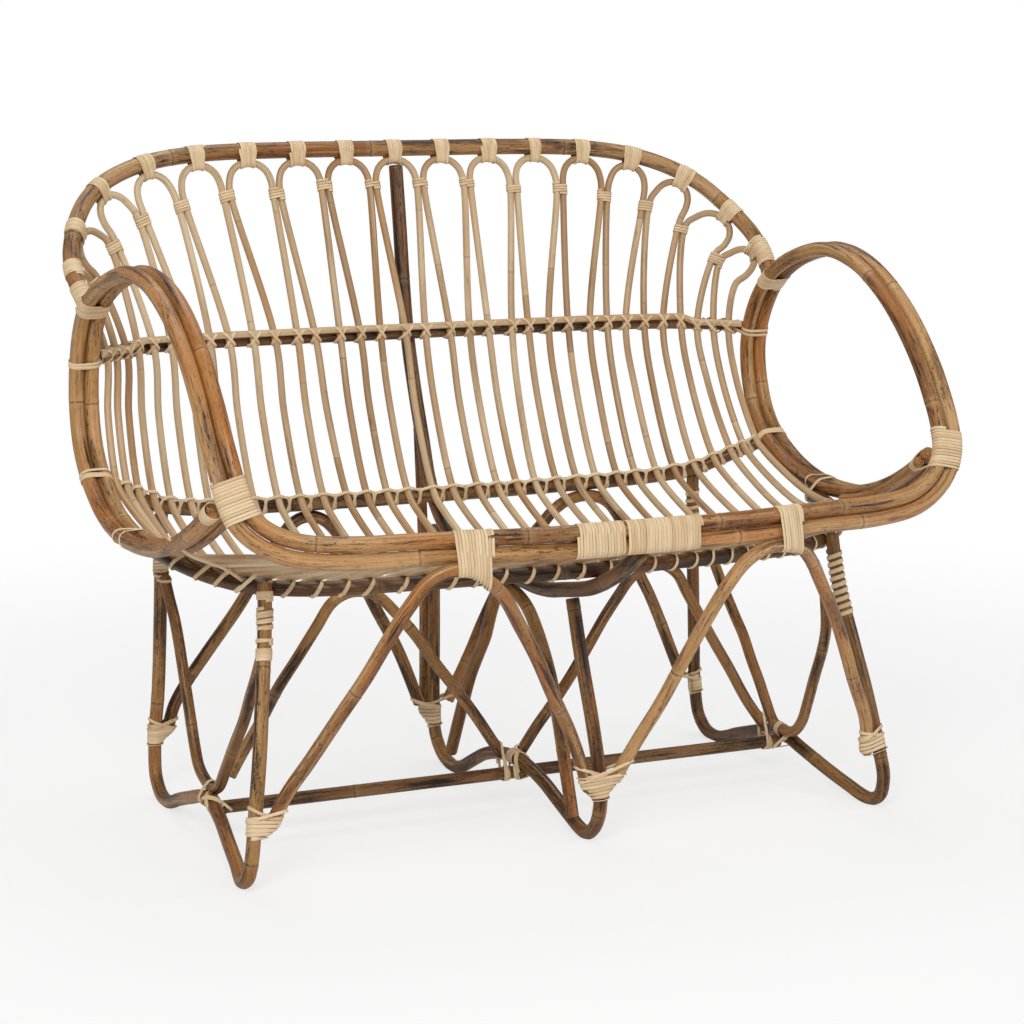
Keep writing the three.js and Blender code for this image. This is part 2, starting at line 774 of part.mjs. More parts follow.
const frontArchRightShares = [
  [0.105, -0.595, 0.2],
  [0.16, -0.64, 0.322],
  [0.203, -0.695, 0.43],
  [0.236, -0.77, 0.561],
  [0.26, -0.86, 0.69],
  [0.288, -0.925, 0.795],
  [0.327, -0.965, 0.876],
  [0.374, -0.983, 0.92],
  [0.433, -0.985, 0.935],
  [0.496, -0.982, 0.933],
  [0.55, -0.955, 0.91],
  [0.614, -0.9, 0.855],
  [0.69, -0.83, 0.767],
  [0.756, -0.775, 0.686],
  [0.82, -0.721, 0.596],
  [0.901, -0.674, 0.426],
  [0.972, -0.628, 0.291],
  [0.993, -0.6, 0.19],
];
const frontArchLeftShares = [
  [0.02, -0.6, 0.18],
  [-0.06, -0.64, 0.36],
  [-0.148, -0.7, 0.502],
  [-0.232, -0.775, 0.63],
  [-0.32, -0.845, 0.75],
  [-0.397, -0.915, 0.845],
  [-0.46, -0.96, 0.9],
  [-0.525, -0.983, 0.932],
  [-0.59, -0.985, 0.935],
  [-0.645, -0.972, 0.91],
  [-0.697, -0.945, 0.85],
  [-0.747, -0.9, 0.748],
  [-0.793, -0.85, 0.642],
  [-0.845, -0.785, 0.53],
  [-0.905, -0.7, 0.392],
  [-0.955, -0.635, 0.285],
  [-0.995, -0.6, 0.185],
];
const rearArchRightShares = [
  [0.042, 0.606, 0.2],
  [0.146, 0.606, 0.396],
  [0.209, 0.6, 0.534],
  [0.336, 0.584, 0.722],
  [0.4, 0.578, 0.79],
  [0.448, 0.574, 0.827],
  [0.545, 0.572, 0.851],
  [0.64, 0.572, 0.814],
  [0.7, 0.579, 0.715],
  [0.76, 0.584, 0.569],
  [0.81, 0.59, 0.479],
  [0.875, 0.597, 0.334],
  [0.935, 0.605, 0.2],
];
const rearArchLeftShares = [
  [-0.06, 0.61, 0.2],
  [-0.157, 0.605, 0.427],
  [-0.258, 0.593, 0.6],
  [-0.343, 0.58, 0.77],
  [-0.4, 0.575, 0.83],
  [-0.455, 0.573, 0.851],
  [-0.515, 0.575, 0.835],
  [-0.57, 0.58, 0.775],
  [-0.62, 0.59, 0.7],
  [-0.7, 0.603, 0.575],
  [-0.77, 0.606, 0.485],
  [-0.85, 0.606, 0.385],
  [-0.913, 0.606, 0.296],
  [-0.944, 0.61, 0.2],
];
const innerArchRightShares = [
  [0.04, -0.045, 0.17],
  [0.1, -0.045, 0.25],
  [0.159, -0.045, 0.32],
  [0.221, -0.045, 0.402],
  [0.283, -0.045, 0.493],
  [0.354, -0.045, 0.599],
  [0.398, -0.045, 0.651],
  [0.452, -0.045, 0.695],
  [0.515, -0.045, 0.71],
  [0.579, -0.045, 0.693],
  [0.617, -0.045, 0.649],
  [0.664, -0.045, 0.573],
  [0.721, -0.045, 0.478],
  [0.787, -0.045, 0.374],
  [0.855, -0.045, 0.26],
  [0.925, -0.045, 0.165],
];
const innerArchLeftShares = [
  [-0.029, -0.045, 0.165],
  [-0.07, -0.045, 0.226],
  [-0.12, -0.045, 0.3],
  [-0.197, -0.045, 0.403],
  [-0.282, -0.045, 0.512],
  [-0.348, -0.045, 0.604],
  [-0.415, -0.045, 0.671],
  [-0.464, -0.045, 0.693],
  [-0.522, -0.045, 0.7],
  [-0.579, -0.045, 0.69],
  [-0.629, -0.045, 0.651],
  [-0.699, -0.045, 0.553],
  [-0.761, -0.045, 0.472],
  [-0.827, -0.045, 0.364],
  [-0.902, -0.045, 0.25],
  [-0.935, -0.045, 0.195],
];
const frontArches = {
  left: addArch('front_arch_left', frontArchLeftShares, archDiameter),
  right: addArch('front_arch_right', frontArchRightShares, archDiameter),
};
const rearArches = {
  left: addArch('rear_arch_left', rearArchLeftShares, archDiameter),
  right: addArch('rear_arch_right', rearArchRightShares, archDiameter),
};
const innerArches = {
  left: addArch('inner_arch_left', innerArchLeftShares, braceDiameter, thinSides),
  right: addArch('inner_arch_right', innerArchRightShares, braceDiameter, thinSides),
};

// Lowers or raises the top of an arch until it lies under what it carries.
function restTop(arch, carried) {
  const top = extremeRow(arch, Math.max);
  rest(arch, [top - 1, top, top + 1], carried, new THREE.Vector3(0, 0, -1));
}

for (const name of ['left', 'right']) {
  restTop(frontArches[name], [arms[name].outer]);
  restTop(rearArches[name], [rearRail]);
  restTop(innerArches[name], hairpins);
}

// An arch from front to back in the middle, with its top under the spine.
const depthArchShares = [
  [0.03, -0.46, 0.06],
  [0.025, -0.41, 0.22],
  [0.018, -0.32, 0.46],
  [0.01, -0.17, 0.61],
  [0, -0.06, 0.655],
  [0, 0.05, 0.63],
  [0, 0.16, 0.5],
  [0, 0.29, 0.35],
  [-0.02, 0.42, 0.07],
];
const depthArch = addPole('depth_arch', depthArchShares.map(([x, y, z]) => legSpot(x, y, z)), archDiameter, archSteps);
restTop(depthArch, [spine]);

// A straight strut stands beside the middle rear leg and reaches up past the rear rail.
const strutLegShares = [
  [-0.015, 0.682, 0.15],
  [-0.01, 0.688, 0.6],
];
const strutTopShares = [0.008, 0.78, 0.1];
const strutRows = [...strutLegShares.map((shares) => legSpot(...shares)), backSpot(...strutTopShares)];
const strut = addPole('rear_centre_strut', strutRows, braceDiameter, strutSteps);
rest(strut, [2], [spine], new THREE.Vector3(0, 1, 0));

function centreSupport(places, across, origin, spare) {
  let most = -Infinity;
  for (const { place, radius } of places) {
    const side = place.clone().sub(origin).dot(across);
    most = Math.max(most, side + radius + spare);
  }
  return most;
}

// A lashing is a ridged band of cane round everything that passes through its length.
// Its outline at each ring is the tight line round the poles there.
function lashingSolid(members, centre, along, halfLength, reach) {
  const axis = along.clone().normalize();
  const first = new THREE.Vector3().crossVectors(axis, Math.abs(axis.z) < 0.9 ? up : new THREE.Vector3(1, 0, 0));
  first.normalize();
  const second = new THREE.Vector3().crossVectors(axis, first);
  const turns = Math.max(1, Math.round((halfLength * 2) / turnPitch));
  const rings = turns * 2;
  const nearby = [];
  for (const member of members) {
    for (const place of member.samples) {
      if (place.distanceTo(centre) < reach) nearby.push({ place, radius: member.radius });
    }
  }
  const vertices = [];
  for (let ring = 0; ring <= rings; ring++) {
    const offset = -halfLength + (halfLength * 2 * ring) / rings;
    const origin = centre.clone().addScaledVector(axis, offset);
    const slab = nearby.filter(({ place }) => Math.abs(place.clone().sub(origin).dot(axis)) < slabHalf);
    const spare = tieThickness + (ring % 2 === 1 ? turnRidge : 0);
    const lines = [];
    for (let i = 0; i < outlineSides; i++) {
      const angle = (i / outlineSides) * Math.PI * 2;
      const across = first.clone().multiplyScalar(Math.cos(angle)).addScaledVector(second, Math.sin(angle));
      lines.push({ angle, across, most: centreSupport(slab, across, origin, spare) });
    }
    for (let i = 0; i < outlineSides; i++) {
      const next = lines[(i + 1) % outlineSides];
      const step = (Math.PI * 2) / outlineSides;
      const onward = (next.most - lines[i].most * Math.cos(step)) / Math.sin(step);
      const turn = new THREE.Vector3().crossVectors(axis, lines[i].across);
      vertices.push(origin.clone().addScaledVector(lines[i].across, lines[i].most).addScaledVector(turn, onward));
    }
  }
  return bandSolid(vertices, rings);
}

// A closed body from rings of points, with a fan at each end.
function bandSolid(vertices, rings) {
  const index = [];
  for (let ring = 0; ring < rings; ring++) {
    for (let i = 0; i < outlineSides; i++) {
      const a = ring * outlineSides + i;
      const b = ring * outlineSides + ((i + 1) % outlineSides);
      index.push(a, b, b + outlineSides, a, b + outlineSides, a + outlineSides);
    }
  }
  const last = rings * outlineSides;
  for (let i = 1; i < outlineSides - 1; i++) {
    index.push(0, i + 1, i);
    index.push(last, last + i, last + i + 1);
  }
  const geometry = new THREE.BufferGeometry();
  geometry.setFromPoints(vertices);
  geometry.setIndex(index);
  return toSolid(geometry);
}

function boxesMeet(a, b) {
  const first = a.boundingBox();
  const second = b.boundingBox();
  return [0, 1, 2].every((axis) => first.min[axis] < second.max[axis] && second.min[axis] < first.max[axis]);
}

const bands = [];

function addLashing(name, members, centre, along, halfLength, reach = halfLength + legDiameter) {
  let solid = lashingSolid(members, centre, along, halfLength, reach);
  for (const pole of poles) {
    const cutter = solidOf(pole, lashingGap);
    if (boxesMeet(solid, cutter)) solid = solid.subtract(cutter);
  }
  const pieces = solid.decompose();
  pieces.sort((a, b) => b.volume() - a.volume());
  bands.push({ name, solid: pieces[0] });
}

// Where a pole passes nearest to a place, and which way it runs there.
function joint(pole, place) {
  const sample = nearestSample(pole, place);
  const index = pole.samples.indexOf(sample);
  const before = pole.samples[Math.max(0, index - 1)];
  const after = pole.samples[Math.min(pole.samples.length - 1, index + 1)];
  return { centre: sample.clone(), along: after.clone().sub(before).normalize() };
}

const cornerShares = [0.966, -0.782, 1.2];
const rimJointShares = [1.006, 0.445, 1.825];
const wrapShares = [-0.018, -1, 1];

function sideSpot([x, y, z], side) {
  return spot(x * side, y, z);
}

for (const name of ['left', 'right']) {
  const { inner, outer, side } = arms[name];
  const corner = joint(inner, sideSpot(cornerShares, side));
  const cornerCentre = corner.centre.lerp(nearestSample(outer, corner.centre), 1 / 2);
  addLashing(`corner_lashing_${name}`, [inner, outer], cornerCentre, corner.along, cornerHalf);
  const back = joint(inner, sideSpot(rimJointShares, side));
  const backCentre = back.centre.lerp(nearestSample(outer, back.centre), 1 / 2);
  addLashing(`rim_lashing_${name}`, [inner, outer, rim], backCentre, back.along, rimJointHalf);
  const arch = frontArches[name];
  const place = arch.points[extremeRow(arch, Math.max)].clone();
  const front = joint(outer, place.setX(place.x + archWraps[name].shift));
  const members = [inner, outer, arch];
  addLashing(`arch_lashing_${name}`, members, front.centre, front.along, archWraps[name].half);
}
const frontMembers = [arms.left.inner, arms.left.outer, arms.right.inner, arms.right.outer];
const wrapCentre = spot(...wrapShares);
addLashing('centre_lashing', frontMembers, wrapCentre, new THREE.Vector3(1, 0, 0), centreWrapHalf);

const footMembers = {
  left: { front: [frontArches.left], rear: [rearArches.left] },
  middle: { front: [frontArches.left, frontArches.right], rear: [rearArches.left, rearArches.right, strut] },
  right: { front: [frontArches.right], rear: [rearArches.right] },
};
for (const name of ['left', 'middle', 'right']) {
  const frame = legs[name];
  const ties = { front: frame.rows.frontTie, rear: frame.rows.rearTie };
  for (const end of ['front', 'rear']) {
    const { half, drop } = footWraps[name][end];
    const tie = joint(frame, frame.points[ties[end]].clone().addScaledVector(up, -drop));
    addLashing(`${end}_foot_lashing_${name}`, [frame, ...footMembers[name][end]], tie.centre, tie.along, half);
  }
}

const nodeMembers = {
  left: [braces.left, innerArches.left],
  middle: [innerArches.left, innerArches.right],
  right: [braces.right, innerArches.right],
};
for (const name of ['left', 'middle', 'right']) {
  const frame = legs[name];
  const hump = joint(frame, frame.points[frame.rows.hump]);
  const members = [frame, stretcher, ...nodeMembers[name]];
  const centre = hump.centre.clone().lerp(nearestSample(stretcher, hump.centre), 1 / 2);
  addLashing(`node_lashing_${name}`, members, centre, hump.along, nodeWrapHalf, legDiameter * nodeReachShare);
}

// Materials: honey poles, paler strands, straw lashings.
function woodMaterial(color) {
  return new THREE.MeshStandardMaterial({ color, roughness, metalness: 0 });
}

const colours = {
  pole: 0xa87140,
  dark: 0x7d5433,
  strand: 0xc2a177,
  cane: 0xdcc294,
};
const roughness = 0.6;

function colourOf(name) {
  if (name.startsWith('hairpin')) return colours.strand;
  if (name.includes('lashing')) return colours.cane;
  if (name.includes('rail') || name.includes('rim') || name.includes('spine')) return colours.dark;
  return colours.pole;
}

const sofa = new THREE.Group();
sofa.name = 'rattan_sofa';

function addMesh(name, geometry) {
  const mesh = new THREE.Mesh(geometry, woodMaterial(colourOf(name)));
  mesh.name = name;
  sofa.add(mesh);
}

for (const pole of poles) addMesh(pole.name, toGeometry(solidOf(pole)));
for (const band of bands) addMesh(band.name, toGeometry(band.solid));

// The origin is on the floor under the centre of the sofa's box.
const middle = new THREE.Box3().setFromObject(sofa).getCenter(new THREE.Vector3());
for (const mesh of sofa.children) mesh.geometry.translate(-middle.x, -middle.y, 0);

export default sofa;
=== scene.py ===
import json
import math
import random
from collections import Counter

import bmesh
import bpy
from mathutils import Matrix, Vector, geometry, noise


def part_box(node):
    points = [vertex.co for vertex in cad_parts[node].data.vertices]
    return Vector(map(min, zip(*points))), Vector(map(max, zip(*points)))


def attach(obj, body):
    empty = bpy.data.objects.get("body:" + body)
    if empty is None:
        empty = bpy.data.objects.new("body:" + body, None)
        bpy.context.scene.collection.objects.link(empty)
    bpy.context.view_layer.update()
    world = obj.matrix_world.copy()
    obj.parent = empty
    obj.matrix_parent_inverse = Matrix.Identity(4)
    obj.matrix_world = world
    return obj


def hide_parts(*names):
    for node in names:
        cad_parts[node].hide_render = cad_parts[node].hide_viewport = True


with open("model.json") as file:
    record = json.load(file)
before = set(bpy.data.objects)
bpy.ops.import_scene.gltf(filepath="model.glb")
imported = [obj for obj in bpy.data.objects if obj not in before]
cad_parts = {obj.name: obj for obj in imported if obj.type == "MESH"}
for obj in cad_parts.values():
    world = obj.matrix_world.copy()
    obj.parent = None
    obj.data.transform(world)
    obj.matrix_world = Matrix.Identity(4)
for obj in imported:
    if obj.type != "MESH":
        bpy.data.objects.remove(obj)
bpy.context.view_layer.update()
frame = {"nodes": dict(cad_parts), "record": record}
nodes = frame["nodes"]
print("frame loaded:", len(nodes), "nodes")


def shade(red, green, blue):
    # 0-255 as a paint program shows it, turned into the linear colour that a socket wants
    linear = [c / 255 / 12.92 if c < 11 else ((c / 255 + 0.055) / 1.055) ** 2.4 for c in (red, green, blue)]
    return (*linear, 1)


# the camera stands where the photo was taken
cameraView = {"place": (-1.5434, -3.4078, 1.0659), "azimuth": -24.4714, "tilt": 9.7612, "lens": 95.18}


def setCamera(values):
    data = bpy.data.cameras.new("photoCamera")
    data.lens = values["lens"]
    data.sensor_width = 36
    camera = bpy.data.objects.new("photoCamera", data)
    bpy.context.scene.collection.objects.link(camera)
    turn = Matrix.Rotation(math.radians(values["azimuth"]), 4, "Z")
    lean = Matrix.Rotation(math.radians(90 - values["tilt"]), 4, "X")
    camera.matrix_world = Matrix.Translation(values["place"]) @ turn @ lean
    bpy.context.scene.camera = camera


setCamera(cameraView)

# pole lines: the middle line of every pole, read back from the rings of its CAD tube
lineValues = {"spacing": 0.006, "weld": 1e-5, "sideSlack": 5e-5, "floorSlack": 1e-4, "steep": 0.8}


def circleMiddle(places):
    # the middle of the circle through three of the places
    a, b, c = places[0], places[len(places) // 2], places[-1]
    ab, ac = b - a, c - a
    normal = ab.cross(ac)
    towards = normal.cross(ab) * ac.length_squared + ac.cross(normal) * ab.length_squared
    return a + towards / (2 * normal.length_squared)


def tubeRings(nodeName):
    # the commonest edge is a side of a ring, and all that such edges join is one ring
    bm = bmesh.new()
    bm.from_mesh(nodes[nodeName].data)
    bmesh.ops.remove_doubles(bm, verts=bm.verts, dist=lineValues["weld"])
    bm.verts.index_update()
    bm.verts.ensure_lookup_table()
    sideLength = Counter(round(edge.calc_length(), 5) for edge in bm.edges).most_common(1)[0][0]
    root = list(range(len(bm.verts)))

    def top(i):
        while root[i] != i:
            root[i] = root[root[i]]
            i = root[i]
        return i

    for edge in bm.edges:
        onFloor = min(v.co.z for v in edge.verts) < lineValues["floorSlack"]
        if abs(edge.calc_length() - sideLength) < lineValues["sideSlack"] and not onFloor:
            root[top(edge.verts[0].index)] = top(edge.verts[1].index)
    rings = {}
    for vert in bm.verts:
        rings.setdefault(top(vert.index), []).append(vert.co.copy())
    rings = {key: places for key, places in rings.items() if len(places) > 2}
    links = {key: Counter() for key in rings}
    for edge in bm.edges:
        a, b = (top(v.index) for v in edge.verts)
        if a != b and a in rings and b in rings:
            links[a][b] += 1
            links[b][a] += 1
    sides = Counter(len(places) for places in rings.values()).most_common(1)[0][0]
    bm.free()
    start = min(links, key=lambda key: (len(links[key]), key))
    chain, here = [start], start
    while True:
        ahead = [key for key, _ in links[here].most_common() if key not in chain]
        if not ahead:
            break
        here = ahead[0]
        chain.append(here)
    middles = []
    for key in chain:
        places = rings[key]
        if len(places) == sides:
            middles.append(sum(places, Vector()) / sides)
        else:
            middles.append(circleMiddle(places))
    return middles, sideLength / 2 / math.sin(math.pi / sides)


def smoothLine(knots, spacing):
    # a curve through the knots that keeps calm where they lie close together
    if len(knots) == 2:
        knots = [knots[0], knots[0].lerp(knots[1], 0.5), knots[1]]
    padded = [2 * knots[0] - knots[1], *knots, 2 * knots[-1] - knots[-2]]
    line = []
    for a, b, c, d in zip(padded, padded[1:], padded[2:], padded[3:]):
        steps = max(1, round((c - b).length / spacing))
        t1 = (b - a).length ** 0.5
        t2 = t1 + (c - b).length ** 0.5
        t3 = t2 + (d - c).length ** 0.5
        for k in range(steps):
            t = t1 + (t2 - t1) * k / steps
            ab = a.lerp(b, t / t1)
            bc = b.lerp(c, (t - t1) / (t2 - t1))
            cd = c.lerp(d, (t - t2) / (t3 - t2))
            abc = ab.lerp(bc, t / t2)
            bcd = bc.lerp(cd, (t - t1) / (t3 - t1))
            line.append(abc.lerp(bcd, (t - t1) / (t2 - t1)))
    line.append(knots[-1])
    return line


def lineOf(points, radius):
    reach = [0.0]
    for a, b in zip(points, points[1:]):
        reach.append(reach[-1] + (b - a).length)
    return {"points": points, "radius": radius, "reach": reach}


def nearestIndex(line, place):
    return min(range(len(line["points"])), key=lambda i: (line["points"][i] - place).length_squared)


def runAt(line, i):
    points = line["points"]
    return (points[min(i + 1, len(points) - 1)] - points[max(i - 1, 0)]).normalized()


lines = {}
for nodeName in sorted(nodes):
    if "lashing" in nodeName:
        continue
    middles, radius = tubeRings(nodeName)
    lines[nodeName] = lineOf(smoothLine(middles, lineValues["spacing"]), radius)
wholeLength = sum(line["reach"][-1] for line in lines.values())
print("pole lines read:", len(lines), "total metres", round(wholeLength, 2))


# making: a ring drawn along a line, for poles and for cane alike
def frames(points):
    # directions across the line that don't twist on their way
    runs = [runAt({"points": points}, i) for i in range(len(points))]
    side = Vector((0, 0, 1)) if abs(runs[0].z) < lineValues["steep"] else Vector((1, 0, 0))
    sides = []
    for run in runs:
        side = (side - run * side.dot(run)).normalized()
        sides.append(side.copy())
    return [(side, run.cross(side)) for side, run in zip(sides, runs)]


def drawRing(sides, stations):
    # each station: middle, two directions with their half sizes, then grain start, joint distance and tone
    bm = bmesh.new()
    angle = bm.verts.layers.float.new("angle")
    grain = bm.verts.layers.float_vector.new("grain")
    joint = bm.verts.layers.float.new("joint")
    tone = bm.verts.layers.float.new("tone")
    bmesh.ops.create_circle(bm, segments=sides, radius=1)
    for vert in bm.verts:
        vert[angle] = math.atan2(vert.co.y, vert.co.x)
    ring, edges = list(bm.verts), list(bm.edges)
    firstEdges = edges
    for count, (middle, first, second, along, apart, shadeOf, square) in enumerate(stations):
        if count:
            made = bmesh.ops.extrude_edge_only(bm, edges=edges)["geom"]
            ring = [item for item in made if isinstance(item, bmesh.types.BMVert)]
            fresh = set(ring)
            edges = [
                item for item in made
                if isinstance(item, bmesh.types.BMEdge) and item.verts[0] in fresh and item.verts[1] in fresh
            ]
        for vert in ring:
            c, s = math.cos(vert[angle]), math.sin(vert[angle])
            if square != 1:
                c = math.copysign(abs(c) ** square, c)
                s = math.copysign(abs(s) ** square, s)
            vert.co = middle + first * c + second * s
            vert[grain] = (along, first.length * c, second.length * s)
            vert[joint] = apart
            vert[tone] = shadeOf
    bmesh.ops.contextual_create(bm, geom=firstEdges)
    bmesh.ops.contextual_create(bm, geom=edges)
    bmesh.ops.recalc_face_normals(bm, faces=bm.faces)
    return bm


def addTo(whole, part):
    mesh = bpy.data.meshes.new("part")
    part.to_mesh(mesh)
    part.free()
    whole.from_mesh(mesh)
    bpy.data.meshes.remove(mesh)


def finishPiece(name, bm, finish, slotName, *replaced):
    mesh = bpy.data.meshes.new(name)
    for face in bm.faces:
        face.smooth = len(face.verts) == 4
    bm.to_mesh(mesh)
    bm.free()
    piece = bpy.data.objects.new(name, mesh)
    bpy.context.scene.collection.objects.link(piece)
    mesh.materials.append(finish)
    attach(piece, "root")
    if replaced:
        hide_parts(*replaced)
    return piece


# finishes: the grain runs along each pole, measured in metres along it and across it
# shared by all of them: detail, roughness and distortion of each noise, and where each blend starts and ends
grainValues = {
    "fibre": (3, 0.55, 0), "broad": (2, 0.55, 0), "patch": (3, 0.6, 0), "flame": (4, 0.6, 0.5),
    "dash": (1, 0.55, 0), "speck": (1, 0.55, 0), "skin": (2, 0.55, 0),
    "fibreRange": (0.32, 0.68), "broadRange": (0.44, 0.64), "crowdRange": (0.38, 0.56),
    "dullRange": (0.3, 0.7), "fading": (0.35, 0.6, 0.35, 1), "wornRange": (0.011, 0.002),
    "ringRange": (0.0022, 0.0006), "coatDull": 0.24, "bumpDepth": 0.0006,
}


def rattanFinish(name, values):
    finish = bpy.data.materials.new(name)
    finish.use_nodes = True
    tree = finish.node_tree
    shader = tree.nodes["Principled BSDF"]
    link = tree.links.new
    shared = grainValues

    def attribute(key):
        node = tree.nodes.new("ShaderNodeAttribute")
        node.attribute_name = key
        return node

    grain, joint, tone = attribute("grain"), attribute("joint"), attribute("tone")

    def cloud(key):
        mapping = tree.nodes.new("ShaderNodeMapping")
        mapping.inputs["Scale"].default_value = values[key + "Scale"]
        link(grain.outputs["Vector"], mapping.inputs["Vector"])
        node = tree.nodes.new("ShaderNodeTexNoise")
        node.inputs["Scale"].default_value = 1
        for socket, value in zip(("Detail", "Roughness", "Distortion"), shared[key]):
            node.inputs[socket].default_value = value
        link(mapping.outputs["Vector"], node.inputs["Vector"])
        return node.outputs["Fac"]

    def spread(source, low, high, start=0.0, end=1.0):
        node = tree.nodes.new("ShaderNodeMapRange")
        for key, value in (("From Min", low), ("From Max", high), ("To Min", start), ("To Max", end)):
            node.inputs[key].default_value = value
        link(source, node.inputs["Value"])
        return node.outputs["Result"]

    def worked(operation, a, b=None):
        node = tree.nodes.new("ShaderNodeMath")
        node.operation = operation
        link(a, node.inputs[0])
        if b is not None:
            link(b, node.inputs[1])
        return node.outputs["Value"]

    def blend(factor, under, over):
        node = tree.nodes.new("ShaderNodeMix")
        node.data_type = "RGBA"
        link(factor, node.inputs["Factor"])
        for socket, colour in (("A", under), ("B", over)):
            if isinstance(colour, tuple):
                node.inputs[socket].default_value = colour
            else:
                link(colour, node.inputs[socket])
        return node.outputs["Result"]

    fibre, patch, flame = cloud("fibre"), cloud("patch"), cloud("flame")
    colour = blend(spread(fibre, *shared["fibreRange"]), values["base"], values["light"])
    layers = [
        (cloud("broad"), shared["broadRange"], "warmth", "warm"),
        (tone.outputs["Fac"], (0.5, 1), "toneLight", "pale"),
        (tone.outputs["Fac"], (0.5, 0), "toneDark", "brown"),
        (patch, values["patchRange"], "patchAmount", "brown"),
        # pale streaks along the grain: partly the rattan's own pale skin, partly painted highlight streaks
        (cloud("skin"), values["paleSkinAndSheenRange"], "paleSkinAndSheenAmount", "pale"),
    ]
    for pattern, limits, amount, over in layers:
        colour = blend(spread(pattern, *limits, 0, values[amount]), colour, values[over])
    # burnt marks come in crowds, so the marks are held back where the patches are pale
    crowd = spread(patch, *shared["crowdRange"], values["crowdLeast"], 1)
    marks = [(flame, "flameRange", "flameAmount"), (cloud("dash"), "dashRange", "dashAmount"),
             (cloud("speck"), "speckRange", "dashAmount")]
    for pattern, limits, amount in marks:
        dark = worked("MULTIPLY", spread(pattern, *values[limits], 0, values[amount]), crowd)
        colour = blend(dark, colour, values["burnt"])
    if values["ringDark"]:
        away = worked("ABSOLUTE", joint.outputs["Fac"])
        fading = spread(flame, *shared["fading"])  # a joint's dark line fades on its way round
        for limits, amount, over in (("wornRange", "ringPale", "pale"), ("ringRange", "ringDark", "ring")):
            near = worked("MULTIPLY", spread(away, *shared[limits], 0, values[amount]), fading)
            colour = blend(near, colour, values[over])
    link(colour, shader.inputs["Base Color"])
    link(spread(fibre, *shared["dullRange"], values["smooth"], values["dull"]), shader.inputs["Roughness"])
    shader.inputs["Specular IOR Level"].default_value = values["gloss"]
    shader.inputs["Coat Weight"].default_value = values["coat"]
    shader.inputs["Coat Roughness"].default_value = shared["coatDull"]
    bump = tree.nodes.new("ShaderNodeBump")
    bump.inputs["Strength"].default_value = values["bump"]
    bump.inputs["Distance"].default_value = shared["bumpDepth"]
    link(fibre, bump.inputs["Height"])
    link(bump.outputs["Normal"], shader.inputs["Normal"])
    return finish


honey = {
    "base": shade(158, 108, 56), "light": shade(194, 148, 92), "warm": shade(174, 101, 36),
    "pale": shade(212, 174, 124), "brown": shade(102, 60, 26), "burnt": shade(38, 20, 8),
    "ring": shade(62, 36, 16),
    "fibreScale": (14, 560, 560), "broadScale": (3.2, 26, 26), "patchScale": (7, 46, 46),
    # the pale skin streaks are partly the cane's own skin and partly painted highlight streaks
    "skinScale": (4, 170, 170),
    "flameScale": (8, 150, 150), "dashScale": (80, 560, 560), "speckScale": (240, 620, 620),
    "warmth": 0.75, "toneLight": 0.7, "toneDark": 0.8, "patchRange": (0.48, 0.62), "patchAmount": 0.62,
    "paleSkinAndSheenRange": (0.55, 0.68), "paleSkinAndSheenAmount": 0.45,
    "crowdLeast": 0.25, "flameRange": (0.55, 0.62), "flameAmount": 0.9, "dashRange": (0.61, 0.66),
    "speckRange": (0.64, 0.69), "dashAmount": 0.9,
    "ringPale": 0.3, "ringDark": 0.7, "smooth": 0.34, "dull": 0.54, "gloss": 0.36, "coat": 0.14, "bump": 0.4,
}
rimPole = dict(
    honey, base=shade(136, 92, 48), light=shade(180, 136, 86), warm=shade(148, 88, 36),
    pale=shade(206, 170, 122), brown=shade(78, 47, 21), patchAmount=0.85,
)
legPole = dict(
    honey, base=shade(132, 86, 36), light=shade(170, 124, 68), warm=shade(148, 85, 29),
    pale=shade(190, 150, 98), brown=shade(74, 43, 17), burnt=shade(26, 14, 6),
    flameRange=(0.53, 0.61), patchAmount=0.85, speckRange=(0.59, 0.64), paleSkinAndSheenAmount=0.5,
)
darkRail = dict(
    honey, base=shade(104, 67, 32), light=shade(142, 101, 58), warm=shade(120, 70, 27),
    pale=shade(168, 132, 88), brown=shade(56, 33, 14), burnt=shade(22, 12, 5),
    flameRange=(0.5, 0.59), patchAmount=0.85, speckRange=(0.6, 0.65),
)
strandCore = {
    "base": shade(188, 158, 118), "light": shade(214, 188, 150), "warm": shade(180, 132, 82),
    "pale": shade(226, 204, 168), "brown": shade(148, 103, 58), "burnt": shade(88, 56, 32),
    "ring": shade(120, 86, 56),
    "fibreScale": (16, 800, 800), "broadScale": (3.5, 30, 30), "patchScale": (6, 60, 60),
    "skinScale": (5, 260, 260),
    "flameScale": (10, 220, 220), "dashScale": (110, 760, 760), "speckScale": (300, 1000, 1000),
    "warmth": 0.7, "toneLight": 0.65, "toneDark": 0.9, "patchRange": (0.52, 0.7), "patchAmount": 0.55,
    "paleSkinAndSheenRange": (0.56, 0.7), "paleSkinAndSheenAmount": 0.4,
    "crowdLeast": 0.2, "flameRange": (0.6, 0.7), "flameAmount": 0.6, "dashRange": (0.67, 0.73),
    "speckRange": (0.69, 0.75), "dashAmount": 0.6,
    "ringPale": 0.15, "ringDark": 0.5, "smooth": 0.4, "dull": 0.62, "gloss": 0.4, "coat": 0.05, "bump": 0.3,
}
